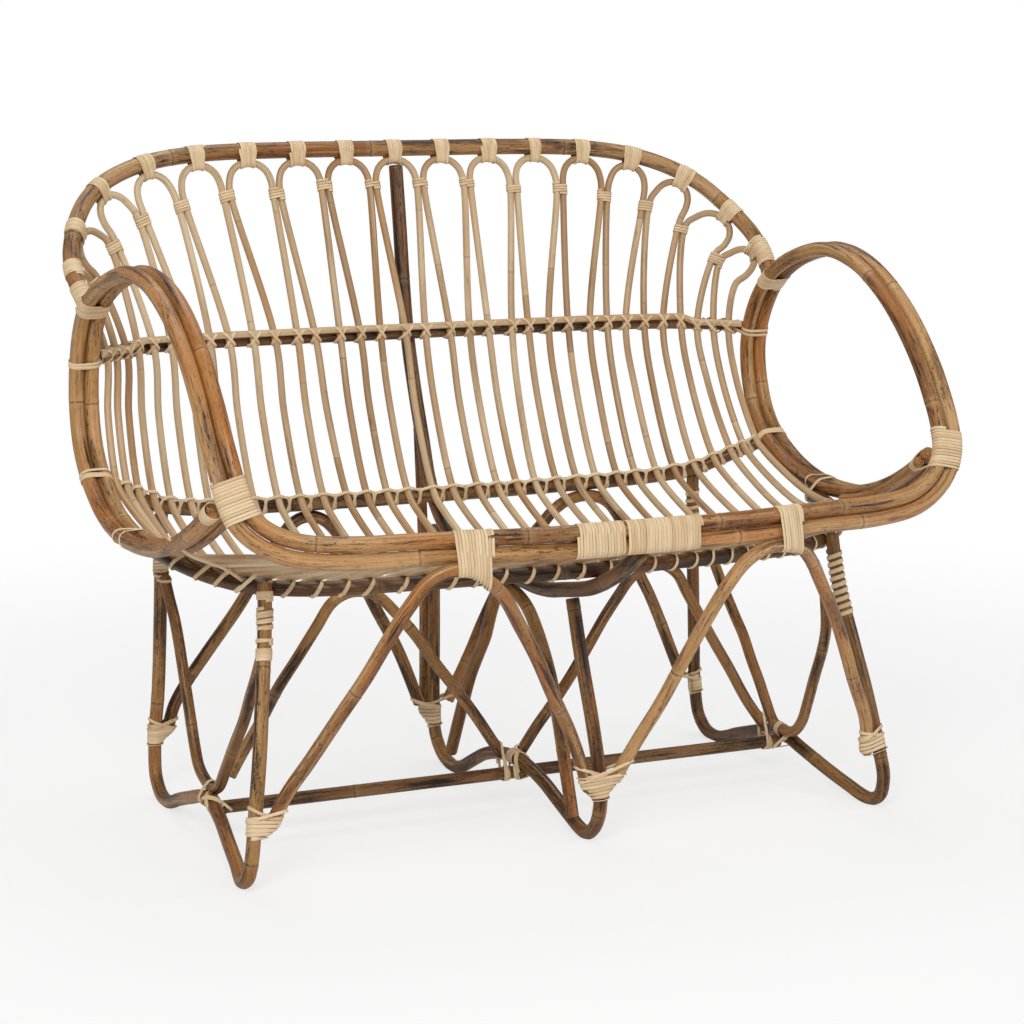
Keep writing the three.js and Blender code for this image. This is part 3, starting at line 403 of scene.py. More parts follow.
straw = {
    "base": shade(220, 190, 148), "light": shade(236, 212, 174), "warm": shade(208, 172, 122),
    "pale": shade(240, 220, 188), "brown": shade(188, 150, 104), "burnt": shade(146, 108, 70),
    "fibreScale": (20, 1700, 1700), "broadScale": (9, 60, 60), "patchScale": (14, 90, 90),
    "skinScale": (8, 400, 400),
    "flameScale": (14, 300, 300), "dashScale": (160, 900, 900), "speckScale": (300, 1200, 1200),
    "warmth": 0.45, "toneLight": 0.3, "toneDark": 0.4, "patchRange": (0.54, 0.72), "patchAmount": 0.45,
    "paleSkinAndSheenRange": (0.56, 0.7), "paleSkinAndSheenAmount": 0.3,
    "crowdLeast": 0.3, "flameRange": (0.64, 0.78), "flameAmount": 0.5, "dashRange": (0.72, 0.78),
    "speckRange": (0.74, 0.8), "dashAmount": 0.4,
    "ringDark": 0, "smooth": 0.42, "dull": 0.62, "gloss": 0.4, "coat": 0.05, "bump": 0.4,
}
finishes = {
    "pole": rattanFinish("honeyPole", honey), "rim": rattanFinish("rimPole", rimPole),
    "leg": rattanFinish("legPole", legPole), "dark_pole": rattanFinish("darkRail", darkRail),
    "strand": rattanFinish("strandCore", strandCore), "cane": rattanFinish("strawCane", straw),
}
honeyPoles = ("arm_", "front_arch_", "seat_edge_")  # the other poles of their slot are darker


def finishOf(nodeName, slotName):
    if nodeName.startswith(honeyPoles):
        return finishes["pole"]
    if nodeName == "back_rim":
        return finishes["rim"]
    if nodeName == "stretcher":
        return finishes["dark_pole"]
    return finishes["leg"] if slotName == "pole" else finishes[slotName]


print("finishes made:", len(finishes))

# poles and strands
poleValues = {
    "sides": 18, "strandSides": 12, "jointGap": (0.2, 0.36), "strandJointGap": (0.26, 0.5),
    "firstGap": (0.3, 1), "nearJoint": (0, 0.0009, 0.002, 0.004, 0.007, 0.011), "jointClear": 0.013,
    "endClear": 0.002,
    "ridge": 0.034, "strandRidge": 0.022, "ridgeAt": 0.003, "ridgeHalf": 0.0035,
    "groove": 0.04, "grooveHalf": 0.0011, "wobble": 0.016, "wobblePace": 14, "endRound": 0.0012,
    "endSize": 0.9, "poleTone": (0.2, 0.85), "poleToneShare": 0.55, "grainShift": 40,
}


def jointPlaces(length, gap, firstGap, dice):
    places, at = [], dice.uniform(*firstGap) * gap[0]
    while at < length:
        places.append(at)
        at += dice.uniform(*gap)
    return places


def bendPole(name, values):
    line = lines[name]
    points, reach, radius = line["points"], line["reach"], line["radius"]
    isStrand = name.startswith("hairpin")
    dice = random.Random(name)
    gap = values["strandJointGap" if isStrand else "jointGap"]
    joints = jointPlaces(reach[-1], gap, values["firstGap"], dice)
    # close to a joint the rings lie closer together
    stops = [at for at in reach if all(abs(at - joint) > values["jointClear"] for joint in joints)]
    near = {joint + step * sign for joint in joints for step in values["nearJoint"] for sign in (1, -1)}
    stops += [at for at in near if values["endClear"] < at < reach[-1] - values["endClear"]]
    stops = sorted(stops + [values["endRound"], reach[-1] - values["endRound"]])
    share = values["poleToneShare"]
    wholeTone = dice.uniform(*values["poleTone"])
    tones = [wholeTone * share + dice.random() * (1 - share) for _ in range(len(joints) + 1)]
    offset = dice.uniform(0, values["grainShift"])
    ridge = values["strandRidge" if isStrand else "ridge"]
    places = []
    i = 0
    for at in stops:
        while i < len(reach) - 2 and reach[i + 1] < at:
            i += 1
        places.append(points[i].lerp(points[i + 1], (at - reach[i]) / (reach[i + 1] - reach[i])))
    stations = []
    for at, place, (first, second) in zip(stops, places, frames(places)):
        apart = min((at - joint for joint in joints), key=abs, default=1)
        tone = tones[sum(joint < at for joint in joints)]
        size = 1 + values["wobble"] * noise.noise(Vector((at * values["wobblePace"] + offset, 0, 0)))
        size += ridge * math.exp(-(((apart - values["ridgeAt"]) / values["ridgeHalf"]) ** 2))
        size -= values["groove"] * math.exp(-((apart / values["grooveHalf"]) ** 2))
        if at in (stops[0], stops[-1]):
            size *= values["endSize"]
        size *= radius
        stations.append((place, first * size, second * size, at + offset, max(-1, min(1, apart)), tone, 1))
    return drawRing(values["strandSides" if isStrand else "sides"], stations)


slotOf = {entry["node"]: entry["material_slot"] for entry in frame["record"]["subparts"]}
for nodeName in lines:
    bm = bendPole(nodeName, poleValues)
    for vert in bm.verts:  # the feet are worn flat on the floor
        vert.co.z = max(vert.co.z, 0)
    slotName = slotOf[nodeName]
    finishPiece(nodeName + "_pole", bm, finishOf(nodeName, slotName), slotName, nodeName)
print("poles and strands bent:", len(lines))

# cane wound round poles
caneValues = {
    "thick": 0.0011, "steps": 30, "uneven": 0.00012, "lift": 0.00045, "rays": 60, "cutSpots": 20,
    "mostStretch": 1.8, "endTail": 0.1, "leastLean": 0.3, "sides": 8, "squareness": 0.6, "grainShift": 30,
}


def partOf(line, place, far):
    # the stretch of a line that passes a place
    points, reach = line["points"], line["reach"]
    low = high = nearestIndex(line, place)
    at = reach[low]
    while low > 0 and at - reach[low] < far:
        low -= 1
    while high < len(points) - 1 and reach[high] - at < far:
        high += 1
    return {"points": points[low:high + 1], "radius": line["radius"]}


def cutSpots(members, origin, axis, first, second):
    # points round each pole's section where a flat cut passes through it
    spots = []
    for line in members:
        radius = line["radius"]
        for a, b in zip(line["points"], line["points"][1:]):
            sideA, sideB = (a - origin).dot(axis), (b - origin).dot(axis)
            if sideA * sideB > 0 or sideA == sideB:
                continue
            hit = a.lerp(b, sideA / (sideA - sideB))
            lean = (b - a).normalized()
            across = axis.cross(lean)
            across = across.normalized() if across.length > 1e-3 else first
            run = axis.cross(across)
            stretch = min(caneValues["mostStretch"], 1 / max(caneValues["leastLean"], abs(lean.dot(axis))))
            for k in range(caneValues["cutSpots"]):
                turn = k * math.tau / caneValues["cutSpots"]
                spot = hit - origin + across * (radius * math.cos(turn))
                spot += run * (radius * stretch * math.sin(turn))
                spots.append(Vector((spot.dot(first), spot.dot(second))))
    return spots


def tightOutline(spots, count):
    # a string pulled tight round the spots: its middle, and how far out it lies each way
    hull = [spots[i] for i in geometry.convex_hull_2d(spots)]
    sides = list(zip(hull, hull[1:] + hull[:1]))
    whole = sum((b - a).length for a, b in sides)
    middle = sum((a.lerp(b, 0.5) * (b - a).length for a, b in sides), Vector((0, 0))) / whole
    rays = []
    for k in range(count):
        ray = Vector((math.cos(k * math.tau / count), math.sin(k * math.tau / count)))
        best = 0
        for a, b in sides:
            side, to = b - a, a - middle
            bottom = ray.x * side.y - ray.y * side.x
            if abs(bottom) < 1e-12:
                continue
            far = (to.x * side.y - to.y * side.x) / bottom
            share = (to.x * ray.y - to.y * ray.x) / bottom
            if far > 0 and -1e-6 <= share <= 1 + 1e-6:
                best = max(best, far)
        rays.append(best)
    return middle, rays


def windCane(members, centre, axis, half, turns, dice, width, pinch=None, lift=None, cone=0, follow=False):
    # a flat strip wound round whatever passes through; with hardly any length it is a single loop
    values = caneValues
    lift = values["lift"] if lift is None else lift
    axis = axis.normalized()
    first = axis.orthogonal().normalized()
    second = axis.cross(first)
    rows = max(2, round(turns * 2) + 1)
    cuts = []
    for row in range(rows):
        origin = centre + axis * (half * (2 * row / (rows - 1) - 1))
        cuts.append(cutSpots(members, origin, axis, first, second))
    known = [spots for spots in cuts if spots]
    if not known:
        return None
    outlines = []
    for row in range(rows):
        spots = list(cuts[row])
        # where a pole ends inside the winding, the cane leads down from it as a cone
        middle = sum(spots, Vector((0, 0))) / len(spots) if spots else None
        for step in range(1, cone + 1):
            for near in (row - step, row + step):
                if middle and 0 <= near < rows:
                    spots += [spot.lerp(middle, step / (cone + 1)) for spot in cuts[near]]
        outlines.append(tightOutline(spots or known[0], values["rays"]))
    steps = round(turns * values["steps"])
    startAngle = dice.uniform(0, math.tau)
    turnTone = [dice.random() for _ in range(math.ceil(turns) + 1)]
    turnShift = [dice.uniform(-1, 1) * values["uneven"] for _ in range(math.ceil(turns) + 1)]
    path, tones = [], []
    for k in range(steps + 1):
        share = k / steps
        offset = half * (2 * share - 1)
        low = min(int(share * (rows - 1)), rows - 2)
        mix = share * (rows - 1) - low
        angle = startAngle + turns * math.tau * share
        place = (angle % math.tau) / math.tau * values["rays"]
        a, part = int(place) % values["rays"], place % 1
        b = (a + 1) % values["rays"]
        lowRays, highRays = outlines[low][1], outlines[low + 1][1]
        radius = (lowRays[a] * (1 - part) + lowRays[b] * part) * (1 - mix)
        radius += (highRays[a] * (1 - part) + highRays[b] * part) * mix
        turn = int(turns * share)
        radius += values["thick"] * 0.5 + lift + turnShift[turn] * 0.5
        middle = outlines[low][0].lerp(outlines[low + 1][0], mix)
        if pinch:  # on one side the turns crowd together
            towards, amount = pinch
            facing = (first * math.cos(angle) + second * math.sin(angle)).dot(towards)
            offset *= 1 - amount * max(0, facing)
        offset += turnShift[turn]
        flat = middle + Vector((math.cos(angle), math.sin(angle))) * radius
        path.append(centre + axis * offset + first * flat.x + second * flat.y)
        tones.append(turnTone[turn])
    outwards = slopeOut(path, centre, axis, values["steps"]) if follow else None
    return layStrip(path, centre, axis, width, values["thick"], tones, dice, outwards)


def slopeOut(path, centre, axis, steps):
    # each strip leans with the slope from the turn before it to the turn after it
    outwards = []
    last = len(path) - 1
    for k, place in enumerate(path):
        run = path[min(k + 1, last)] - path[max(k - 1, 0)]
        out = run.cross(path[min(k + steps, last)] - path[max(k - steps, 0)]).normalized()
        away = place - centre
        away -= axis * away.dot(axis)
        outwards.append(out if out.dot(away) > 0 else -out)
    return outwards


def layStrip(path, centre, axis, width, thick, tones, dice, outwards=None):
    stations = []
    along = dice.uniform(0, caneValues["grainShift"])
    last = len(path) - 1
    for k, place in enumerate(path):
        run = (path[min(k + 1, last)] - path[max(k - 1, 0)]).normalized()
        if outwards:
            out = outwards[k]
        else:
            out = axis.cross(run)
            if out.dot(place - centre) < 0:
                out = -out
        across = run.cross(out).normalized()
        out = across.cross(run).normalized()
        if k:
            along += (place - path[k - 1]).length
        halves = across * (width / 2), out * (thick / 2)
        stations.append((place, *halves, along, 1, tones[k], caneValues["squareness"]))
    return drawRing(caneValues["sides"], stations)


def gather(name, parts, *replaced):
    whole = bmesh.new()
    count = 0
    for part in parts:
        if part:
            addTo(whole, part)
            count += 1
    finishPiece(name, whole, finishes["cane"], "cane", *replaced)
    print(name, "parts:", count)


def loopRound(names, centre, axis, length, turns, dice, width, far=0.03, **more):
    # a winding of a given length round the named poles, near a place
    members = [partOf(lines[name], centre, length / 2 + far) for name in names]
    return windCane(members, centre, axis, length / 2, turns, dice, width, **more)


def closest(line, other):
    # where two lines come nearest: how far apart, and the index on each
    best = None
    for i, place in enumerate(line["points"]):
        j = nearestIndex(other, place)
        apart = (other["points"][j] - place).length
        if best is None or apart < best[0]:
            best = (apart, i, j)
    return best


strandNames = [f"hairpin_{i:02d}" for i in range(1, 18)]
hairpins = [lines[name] for name in strandNames]
rim = lines["back_rim"]

# where the hairpins touch the rim, each is wrapped with cane
rimWrap = {
    "width": 0.0040, "turns": (5, 6), "tail": 0.4, "pinch": 0.22, "rimReach": 0.04, "strandReach": 0.05,
}


def rimWraps(values):
    for count, strand in enumerate(hairpins):
        dice = random.Random(f"rim{count}")
        _, i, j = closest(strand, rim)
        centre = rim["points"][j].lerp(strand["points"][i], 0.5)
        towards = (strand["points"][i] - rim["points"][j]).normalized()
        turns = dice.randint(*values["turns"]) + values["tail"]
        half = turns * values["width"] / 2
        members = [partOf(rim, centre, values["rimReach"]), partOf(strand, centre, values["strandReach"])]
        pinch = (towards, values["pinch"])
        yield windCane(members, centre, runAt(rim, j), half, turns, dice, values["width"], pinch)


gather("rim_wraps", rimWraps(rimWrap))

# a short tie below each pair of bows
pairTie = {"width": 0.0038, "turns": (3, 4), "lowest": 0.14, "halfTurn": 0.54, "reach": 0.03}


def pairTies(values):
    for count, (left, right) in enumerate(zip(hairpins, hairpins[1:])):
        dice = random.Random(f"pair{count}")
        floorLevel = max(p.z for p in left["points"]) - values["lowest"]
        upper = {"points": [p for p in left["points"] if p.z >= floorLevel]}
        _, i, j = closest(upper, right)
        centre = upper["points"][i].lerp(right["points"][j], 0.5)
        i = nearestIndex(left, upper["points"][i])
        axis, other = runAt(left, i), runAt(right, j)
        axis = axis + (other if other.dot(axis) > 0 else -other)
        turns = dice.randint(*values["turns"])
        half = turns * values["width"] * values["halfTurn"]
        members = [partOf(line, centre, values["reach"]) for line in (left, right)]
        yield windCane(members, centre, axis, half, turns, dice, values["width"])


gather("pair_ties", pairTies(pairTie))

# how near a strand comes to the rail that it lies on, and how many steps part two such places
crossingValues = {"spare": 0.004, "apartSteps": 4}


def crossings(rail):
    # every place where a strand lies on this rail, in order along the rail
    found = []
    for strand in hairpins:
        gap = strand["radius"] + rail["radius"] + crossingValues["spare"]
        lowest = None
        for i, place in enumerate(strand["points"]):
            j = nearestIndex(rail, place)
            apart = (rail["points"][j] - place).length
            if apart < gap:
                if lowest is None or apart < lowest[0]:
                    lowest = (apart, i, j)
            elif lowest and i - lowest[1] > crossingValues["apartSteps"]:
                found.append((rail["reach"][lowest[2]], strand, lowest[1], lowest[2]))
                lowest = None
        if lowest:
            found.append((rail["reach"][lowest[2]], strand, lowest[1], lowest[2]))
    found.sort(key=lambda entry: entry[0])
    return found


def endLashings(railName, values, seed):
    # at both ends a rail is bound to the two poles of the arm
    for side, end in (("left", 0), ("right", -1)):
        rail = lines[railName]
        if (rail["points"][end].x > 0) != (side == "right"):
            end = -1 - end
        place = rail["points"][end]
        dice = random.Random(f"{seed}{side}")
        names = [f"arm_inner_pole_{side}", f"arm_outer_pole_{side}", railName]
        pole = lines[names[0]]
        axis = runAt(pole, nearestIndex(pole, place))
        for turns, width, spread, lean in values["bands"]:
            tilted = axis + place.cross(axis).normalized() * (lean * (1 if side == "right" else -1))
            length = width * (turns - 1)
            wound = turns + caneValues["endTail"]
            yield loopRound(names, place + axis * spread, tilted, length, wound, dice, width)


# the rail half way up the back: a pale split in front, crossed ties over every strand
# each band at a rail's end: turns, width, shift along the arm, lean
backTie = {
    "width": 0.0046, "splitHalfWidth": 0.0052, "splitHalfThick": 0.0022, "splitTone": 0.6, "slant": 1.05,
    "uneven": (0.85, 1.15), "drop": 0.0036, "reach": 0.026, "half": 0.0006, "turns": 1.02,
    "lifts": (0.0006, 0.0018), "bands": [(1, 0.0048, 0.0028, 0.08), (1, 0.0048, -0.0030, 0.04)],
}


def backRailTies(values):
    rail = lines["back_rail"]
    found = crossings(rail)
    print("back rail crossings", len(found))
    fronts, outs = [], []
    for _, strand, i, j in found:
        out = (strand["points"][i] - rail["points"][j]).normalized()
        lift = (strand["points"][i] - rail["points"][j]).length + strand["radius"] + values["splitHalfThick"]
        fronts.append(rail["points"][j] + out * lift + out.cross(runAt(rail, j)) * values["drop"])
        outs.append(out)
    knots = [fronts[0] * 2 - fronts[1], *fronts, fronts[-1] * 2 - fronts[-2]]
    path = smoothLine(knots, lineValues["spacing"])
    outwards = [outs[min(range(len(fronts)), key=lambda k: (fronts[k] - place).length)] for place in path]
    split = layStrip(path, None, None, values["splitHalfWidth"] * 2, values["splitHalfThick"] * 2,
                     [values["splitTone"]] * len(path), random.Random("split"), outwards)
    finishPiece("back_rail_split", split, finishes["strand"], "strand")
    splitLine = lineOf(path, values["splitHalfThick"])
    for count, (_, strand, i, j) in enumerate(found):
        dice = random.Random(f"cross{count}")
        out = (strand["points"][i] - rail["points"][j]).normalized()
        along, up = runAt(rail, j), runAt(strand, i)
        up = (up - out * up.dot(out)).normalized()
        if up.z < 0:
            up = -up
        centre = rail["points"][j].lerp(strand["points"][i], 0.5) - up * values["drop"]
        members = [partOf(line, centre, values["reach"]) for line in (strand, rail, splitLine)]
        for sign, lift in zip((1, -1), values["lifts"]):
            slant = (along * sign + up * values["slant"] * dice.uniform(*values["uneven"])).normalized()
            yield windCane(members, centre, out.cross(slant), values["half"], values["turns"], dice,
                           values["width"], lift=lift)
    yield from endLashings("back_rail", values, "backEnd")


gather("back_rail_ties", backRailTies(backTie))

# the rail at the back of the seat: a wavy binder over the strands, held by slanted ties between them
seatTie = {
    "width": 0.0050, "binderThick": 0.0024, "binderTone": 0.7, "spacing": 0.004, "tieWidth": 0.0040,
    "dip": 0.0062, "slant": 0.4, "uneven": (0.7, 1.2), "shift": 0.002, "railReach": 0.03,
    "binderReach": 0.012, "half": 0.0005, "turns": 1.02,
    "bands": [(1, 0.0088, 0.0, 0.12), (1, 0.0050, 0.0070, -0.1)],
}


def rearRailTies(values):
    rail = lines["rear_seat_rail"]
    found = crossings(rail)
    print("rear rail crossings", len(found))
    knots, outs = [], []
    for count, (_, strand, i, j) in enumerate(found):
        out = (strand["points"][i] - rail["points"][j]).normalized()
        high = (strand["points"][i] - rail["points"][j]).length + strand["radius"] + values["binderThick"] / 2
        knots.append(rail["points"][j] + out * high)
        outs.append(out)
        if count + 1 < len(found):
            _, nextStrand, nextI, nextJ = found[count + 1]
            mid = (j + nextJ) // 2
            nextOut = (nextStrand["points"][nextI] - rail["points"][nextJ]).normalized()
            between = (out + nextOut).normalized()
            knots.append(rail["points"][mid] + between * (high - values["dip"]))
            outs.append(between)
    path = smoothLine(knots, values["spacing"])
    outwards = [outs[min(range(len(knots)), key=lambda k: (knots[k] - place).length)] for place in path]
    tones = [values["binderTone"]] * len(path)
    yield layStrip(path, None, None, values["width"], values["binderThick"], tones, random.Random("binder"),
                   outwards)
    binder = lineOf(path, values["binderThick"] / 2)
    for count, (here, there) in enumerate(zip(found, found[1:])):
        dice = random.Random(f"seat{count}")
        mid = (here[3] + there[3]) // 2
        along = runAt(rail, mid)
        down = along.cross(outs[count * 2 + 1])
        centre = rail["points"][mid]
        members = [partOf(rail, centre, values["railReach"]), partOf(binder, centre, values["binderReach"])]
        for sign in (1, -1):
            axis = along + down * (values["slant"] * sign * dice.uniform(*values["uneven"]))
            place = centre + along * (sign * values["shift"])
            yield windCane(members, place, axis, values["half"], values["turns"], dice, values["tieWidth"])
    yield from endLashings("rear_seat_rail", values, "rearEnd")


gather("rear_rail_ties", rearRailTies(seatTie))

# the low front rail: each strand's end is bound on with one slanted turn
frontTie = {
    "width": 0.0054, "slant": (-0.8, -0.2), "slantWay": (0, -0.3, 1), "uneven": (0.8, 1.2),
    "strandShare": 0.4, "reach": 0.03, "half": 0.0007, "turns": 1.04,
    "bands": [(3, 0.0024, 0.004, 0.5), (2, 0.0030, -0.012, -0.4)],
}


def frontRailTies(values):
    rail = lines["front_seat_rail"]
    found = crossings(rail)
    print("front rail crossings", len(found))
    for count, (_, strand, i, j) in enumerate(found):
        dice = random.Random(f"front{count}")
        along = runAt(rail, j)
        if along.x < 0:
            along = -along
        share = count / max(1, len(found) - 1)
        lean = values["slant"][0] * (1 - share) + values["slant"][1] * share
        axis = along + Vector(values["slantWay"]) * (lean * dice.uniform(*values["uneven"]))
        centre = rail["points"][j].lerp(strand["points"][i], values["strandShare"])
        members = [partOf(line, centre, values["reach"]) for line in (rail, strand)]
        yield windCane(members, centre, axis, values["half"], values["turns"], dice, values["width"])
    yield from endLashings("front_seat_rail", values, "frontEnd")


gather("front_rail_ties", frontRailTies(frontTie))

# the big lashings, wound where the CAD bands are
lashingValues = {
    "width": 0.0040, "footWidth": 0.0052, "spare": 0.0012, "packing": 1.06, "tail": 0.3,
    "footTop": 0.7, "footCone": 10, "gapAt": -0.02, "gap": 0.0016,
}


def lashingPlace(nodeName, along):
    low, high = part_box(nodeName)
    centre = (low + high) / 2
    line = lines[along]
    axis = runAt(line, nearestIndex(line, centre))
    far = [(vert.co - centre).dot(axis) for vert in nodes[nodeName].data.vertices]
    centre = centre + axis * ((max(far) + min(far)) / 2)
    return centre, axis, (max(far) - min(far)) / 2 - lashingValues["spare"]


def windLashing(nodeName, along, names, width, top=1, **more):
    # top says how far up its CAD band the winding reaches
    dice = random.Random(nodeName)
    centre, axis, half = lashingPlace(nodeName, along)
    if axis.z < 0:
        axis = -axis
    length = half * (1 + top) - width
    turns = max(2, round(length / width / lashingValues["packing"])) + lashingValues["tail"]
    return loopRound(names, centre - axis * (half * (1 - top) / 2), axis, length, turns, dice, width, **more)


def centreWinding(values):
    # two windings with a small gap between them
    centre, axis, half = lashingPlace("centre_lashing", "arm_outer_pole_left")
    if axis.x < 0:
        axis = -axis
    names = [f"arm_{pole}_pole_{side}" for pole in ("inner", "outer") for side in ("left", "right")]
    width, gapAt, gapHalf = values["width"], values["gapAt"], values["gap"] / 2
    for low, high in ((-half, gapAt - gapHalf), (gapAt + gapHalf, half)):
        length = high - low - width
        turns = round(length / width / values["packing"]) + values["tail"]
        dice = random.Random(f"centre{low}")
        yield loopRound(names, centre + axis * ((low + high) / 2), axis, length, turns, dice, width)


# low ties between the stretcher, the leg frames and the braces
nodeTie = {
    "width": 0.0044, "uneven": (0.85, 1.15), "crossReach": 0.024, "crossHalf": 0.6, "crossTurns": 2.1,
    "lifts": (0.0006, 0.0018), "braceReach": 0.016, "braceTurns": 3.2, "braceLift": 0.0012,
}


def nodeTies(side, names, values):
    # crossed turns where the stretcher lies on the leg, and turns that bind each brace to the nearer one
    leg, bar = lines[f"leg_frame_{side}"], lines["stretcher"]
    _, i, j = closest(leg, bar)
    out = (leg["points"][i] - bar["points"][j]).normalized()
    centre = leg["points"][i].lerp(bar["points"][j], 0.5)
    legRun, barRun = runAt(leg, i), runAt(bar, j)
    dice = random.Random(f"node{side}")
    width = values["width"]
    members = [partOf(line, centre, values["crossReach"]) for line in (leg, bar)]
    for sign, lift in zip((1, -1), values["lifts"]):
        axis = out.cross(legRun + barRun * (sign * dice.uniform(*values["uneven"])))
        half = width * values["crossHalf"]
        yield windCane(members, centre, axis, half, values["crossTurns"], dice, width, lift=lift)
    for name in names:
        brace = lines[name]
        through = min((leg, bar), key=lambda line: closest(brace, line)[0])
        _, _, at = closest(brace, through)
        place = through["points"][at]
        members = [partOf(line, place, values["braceReach"]) for line in (through, brace)]
        yield windCane(members, place, runAt(through, at), width, values["braceTurns"], dice, width,
                       lift=values["braceLift"])


# and the crossed turns on each foot
footCross = {
    "width": 0.0044, "tilt": (0.3, 0.42), "forward": 0.15, "highShare": 0.62, "length": 0.0016, "turns": 1.1,
    "lifts": (0.0016, 0.0008),
}


def footCrosses(nodeName, leg, poles, values):
    # two slanted turns over the top of a foot's winding
    centre, axis, half = lashingPlace(nodeName, leg)
    if axis.z < 0:
        axis = -axis
    across = axis.cross(Vector((0, 1, 0))).normalized()
    place = centre + axis * (half * values["highShare"])
    for sign, lift in zip((1, -1), values["lifts"]):
        dice = random.Random(f"{nodeName}{sign}")
        tilted = axis + across * (sign * dice.uniform(*values["tilt"]))
        tilted += Vector((0, sign * values["forward"], 0))
        yield loopRound([leg, *poles], place, tilted, values["length"], values["turns"], dice,
                        values["width"], lift=lift)


footPoles = {
    "left": (["front_arch_left"], ["rear_arch_left"], ["v_brace_left", "inner_arch_left"]),
    "middle": (["front_arch_left", "front_arch_right"],
               ["rear_arch_left", "rear_arch_right", "rear_centre_strut"],
               ["inner_arch_left", "inner_arch_right"]),
    "right": (["front_arch_right"], ["rear_arch_right"], ["v_brace_right", "inner_arch_right"]),
}


def lashings(values):
    for side in ("left", "right"):
        inner, outer = f"arm_inner_pole_{side}", f"arm_outer_pole_{side}"
        kinds = [("corner", inner, []), ("rim", inner, ["back_rim"]), ("arch", outer, [f"front_arch_{side}"])]
        for kind, along, third in kinds:
            nodeName = f"{kind}_lashing_{side}"
            winding = windLashing(nodeName, along, [inner, outer, *third], values["width"])
            gather(f"{kind}_winding_{side}", [winding], nodeName)
    gather("centre_winding", centreWinding(values), "centre_lashing")
    for side, (fronts, rears, braces) in footPoles.items():
        leg = f"leg_frame_{side}"
        for end, poles in (("front", fronts), ("rear", rears)):
            nodeName = f"{end}_foot_lashing_{side}"
            winding = windLashing(nodeName, leg, [leg, *poles], values["footWidth"], values["footTop"],
                                  cone=values["footCone"], follow=True)
            crosses = footCrosses(nodeName, leg, poles, footCross)
            gather(f"{end}_foot_winding_{side}", [winding, *crosses], nodeName)
        gather(f"node_winding_{side}", nodeTies(side, braces, nodeTie), f"node_lashing_{side}")


lashings(lashingValues)

# cane wound round the tops of the outer legs: side, place, other poles, length, turns, width
# with turns below zero it is wound the other way
legWraps = [
    ("left", (-0.446, -0.254, 0.381), [], 0.010, 3.2, 0.0048),
    ("left", (-0.446, -0.254, 0.364), [], 0.016, 1.6, 0.0048),
    ("left", (-0.446, -0.254, 0.364), [], 0.016, -1.6, 0.0048),
    ("left", (-0.446, -0.248, 0.350), [], 0.014, 1.6, 0.0048),
    ("left", (-0.446, -0.248, 0.350), [], 0.014, -1.6, 0.0048),
    ("left", (-0.446, -0.241, 0.328), [], 0.005, 1.3, 0.0052),
    ("left", (-0.446, -0.241, 0.313), [], 0.013, 3.4, 0.0048),
    ("right", (0.446, -0.168, 0.320), [], 0.094, 9.2, 0.0062),
    ("right", (0.446, 0.266, 0.366), [], 0.060, 5.3, 0.0052),
    ("left", (-0.446, 0.175, 0.330), ["v_brace_left"], 0.024, 5.2, 0.0044),
]
wrapValues = {"reach": 0.02, "lifts": (0.0005, 0.0009)}


def legTopWraps(wraps, values):
    for count, (side, place, others, length, turns, width) in enumerate(wraps):
        leg = lines[f"leg_frame_{side}"]
        at = nearestIndex(leg, Vector(place))
        axis = runAt(leg, at)
        if turns < 0:
            axis = -axis
        names = [f"leg_frame_{side}", *others]
        dice = random.Random(f"legTop{count}")
        yield loopRound(names, leg["points"][at], axis, length, abs(turns), dice, width, values["reach"],
                        lift=values["lifts"][count % 2])


gather("leg_top_wraps", legTopWraps(legWraps, wrapValues))

# the ends of the back rim are wound too, and so is the end of each arm's low run
armWraps = [
    (["back_rim"], (-0.547, 0.215, 0.727), 0.040, 11.3, 0.0034),
    (["back_rim"], (0.546, 0.240, 0.745), 0.034, 9.3, 0.0034),
    (["arm_outer_pole_left"], (-0.535, -0.288, 0.508), 0.022, 5.3, 0.0044),
    (["arm_inner_pole_right", "seat_edge_pole_right"], (0.509, -0.268, 0.510), 0.012, 3.3, 0.0044),
]


def armWindings(wraps, values):
    for count, (names, place, length, turns, width) in enumerate(wraps):
        pole = lines[names[0]]
        at = nearestIndex(pole, Vector(place))
        dice = random.Random(f"arm{count}")
        axis = runAt(pole, at)
        yield loopRound(names, pole["points"][at], axis, length, turns, dice, width, values["reach"])


gather("arm_windings", armWindings(armWraps, wrapValues))

# one loose strip hangs from the left arm down to the front rail
looseValues = {
    "start": (-0.552, -0.188, 0.458), "finish": (-0.440, -0.152, 0.386), "width": 0.0042, "spacing": 0.005,
    "sags": ((0.3, -0.006), (0.7, 0.002)), "faces": (-0.4, -0.9, 0.2), "tone": 0.5,
}


def looseStrip(values):
    start, finish = Vector(values["start"]), Vector(values["finish"])
    between = [start.lerp(finish, share) + Vector((0, 0, rise)) for share, rise in values["sags"]]
    path = smoothLine([start, *between, finish], values["spacing"])
    outwards = [Vector(values["faces"])] * len(path)
    return layStrip(path, None, None, values["width"], caneValues["thick"], [values["tone"]] * len(path),
                    random.Random("loose"), outwards)


gather("loose_strip", [looseStrip(looseValues)])

# studio: pale floor, soft light
studio = {
    "world": 0.34, "floorHalf": 30, "floorTone": 0.9, "floorDull": 0.9,
    "nearGlow": 0.7, "glowStart": 0.9, "glowEnd": 2.4,
    # each lamp: place, height of the spot that it points at, size, power
    "lamps": {
        "keyLamp": ((-2.2, -3.4, 3.2), 0.45, 2.2, 122), "fillLamp": ((3.4, -2.4, 1.8), 0.45, 2.6, 36),
        "topLamp": ((0.2, 1.2, 3.8), 0.4, 2.4, 38),
    },
}


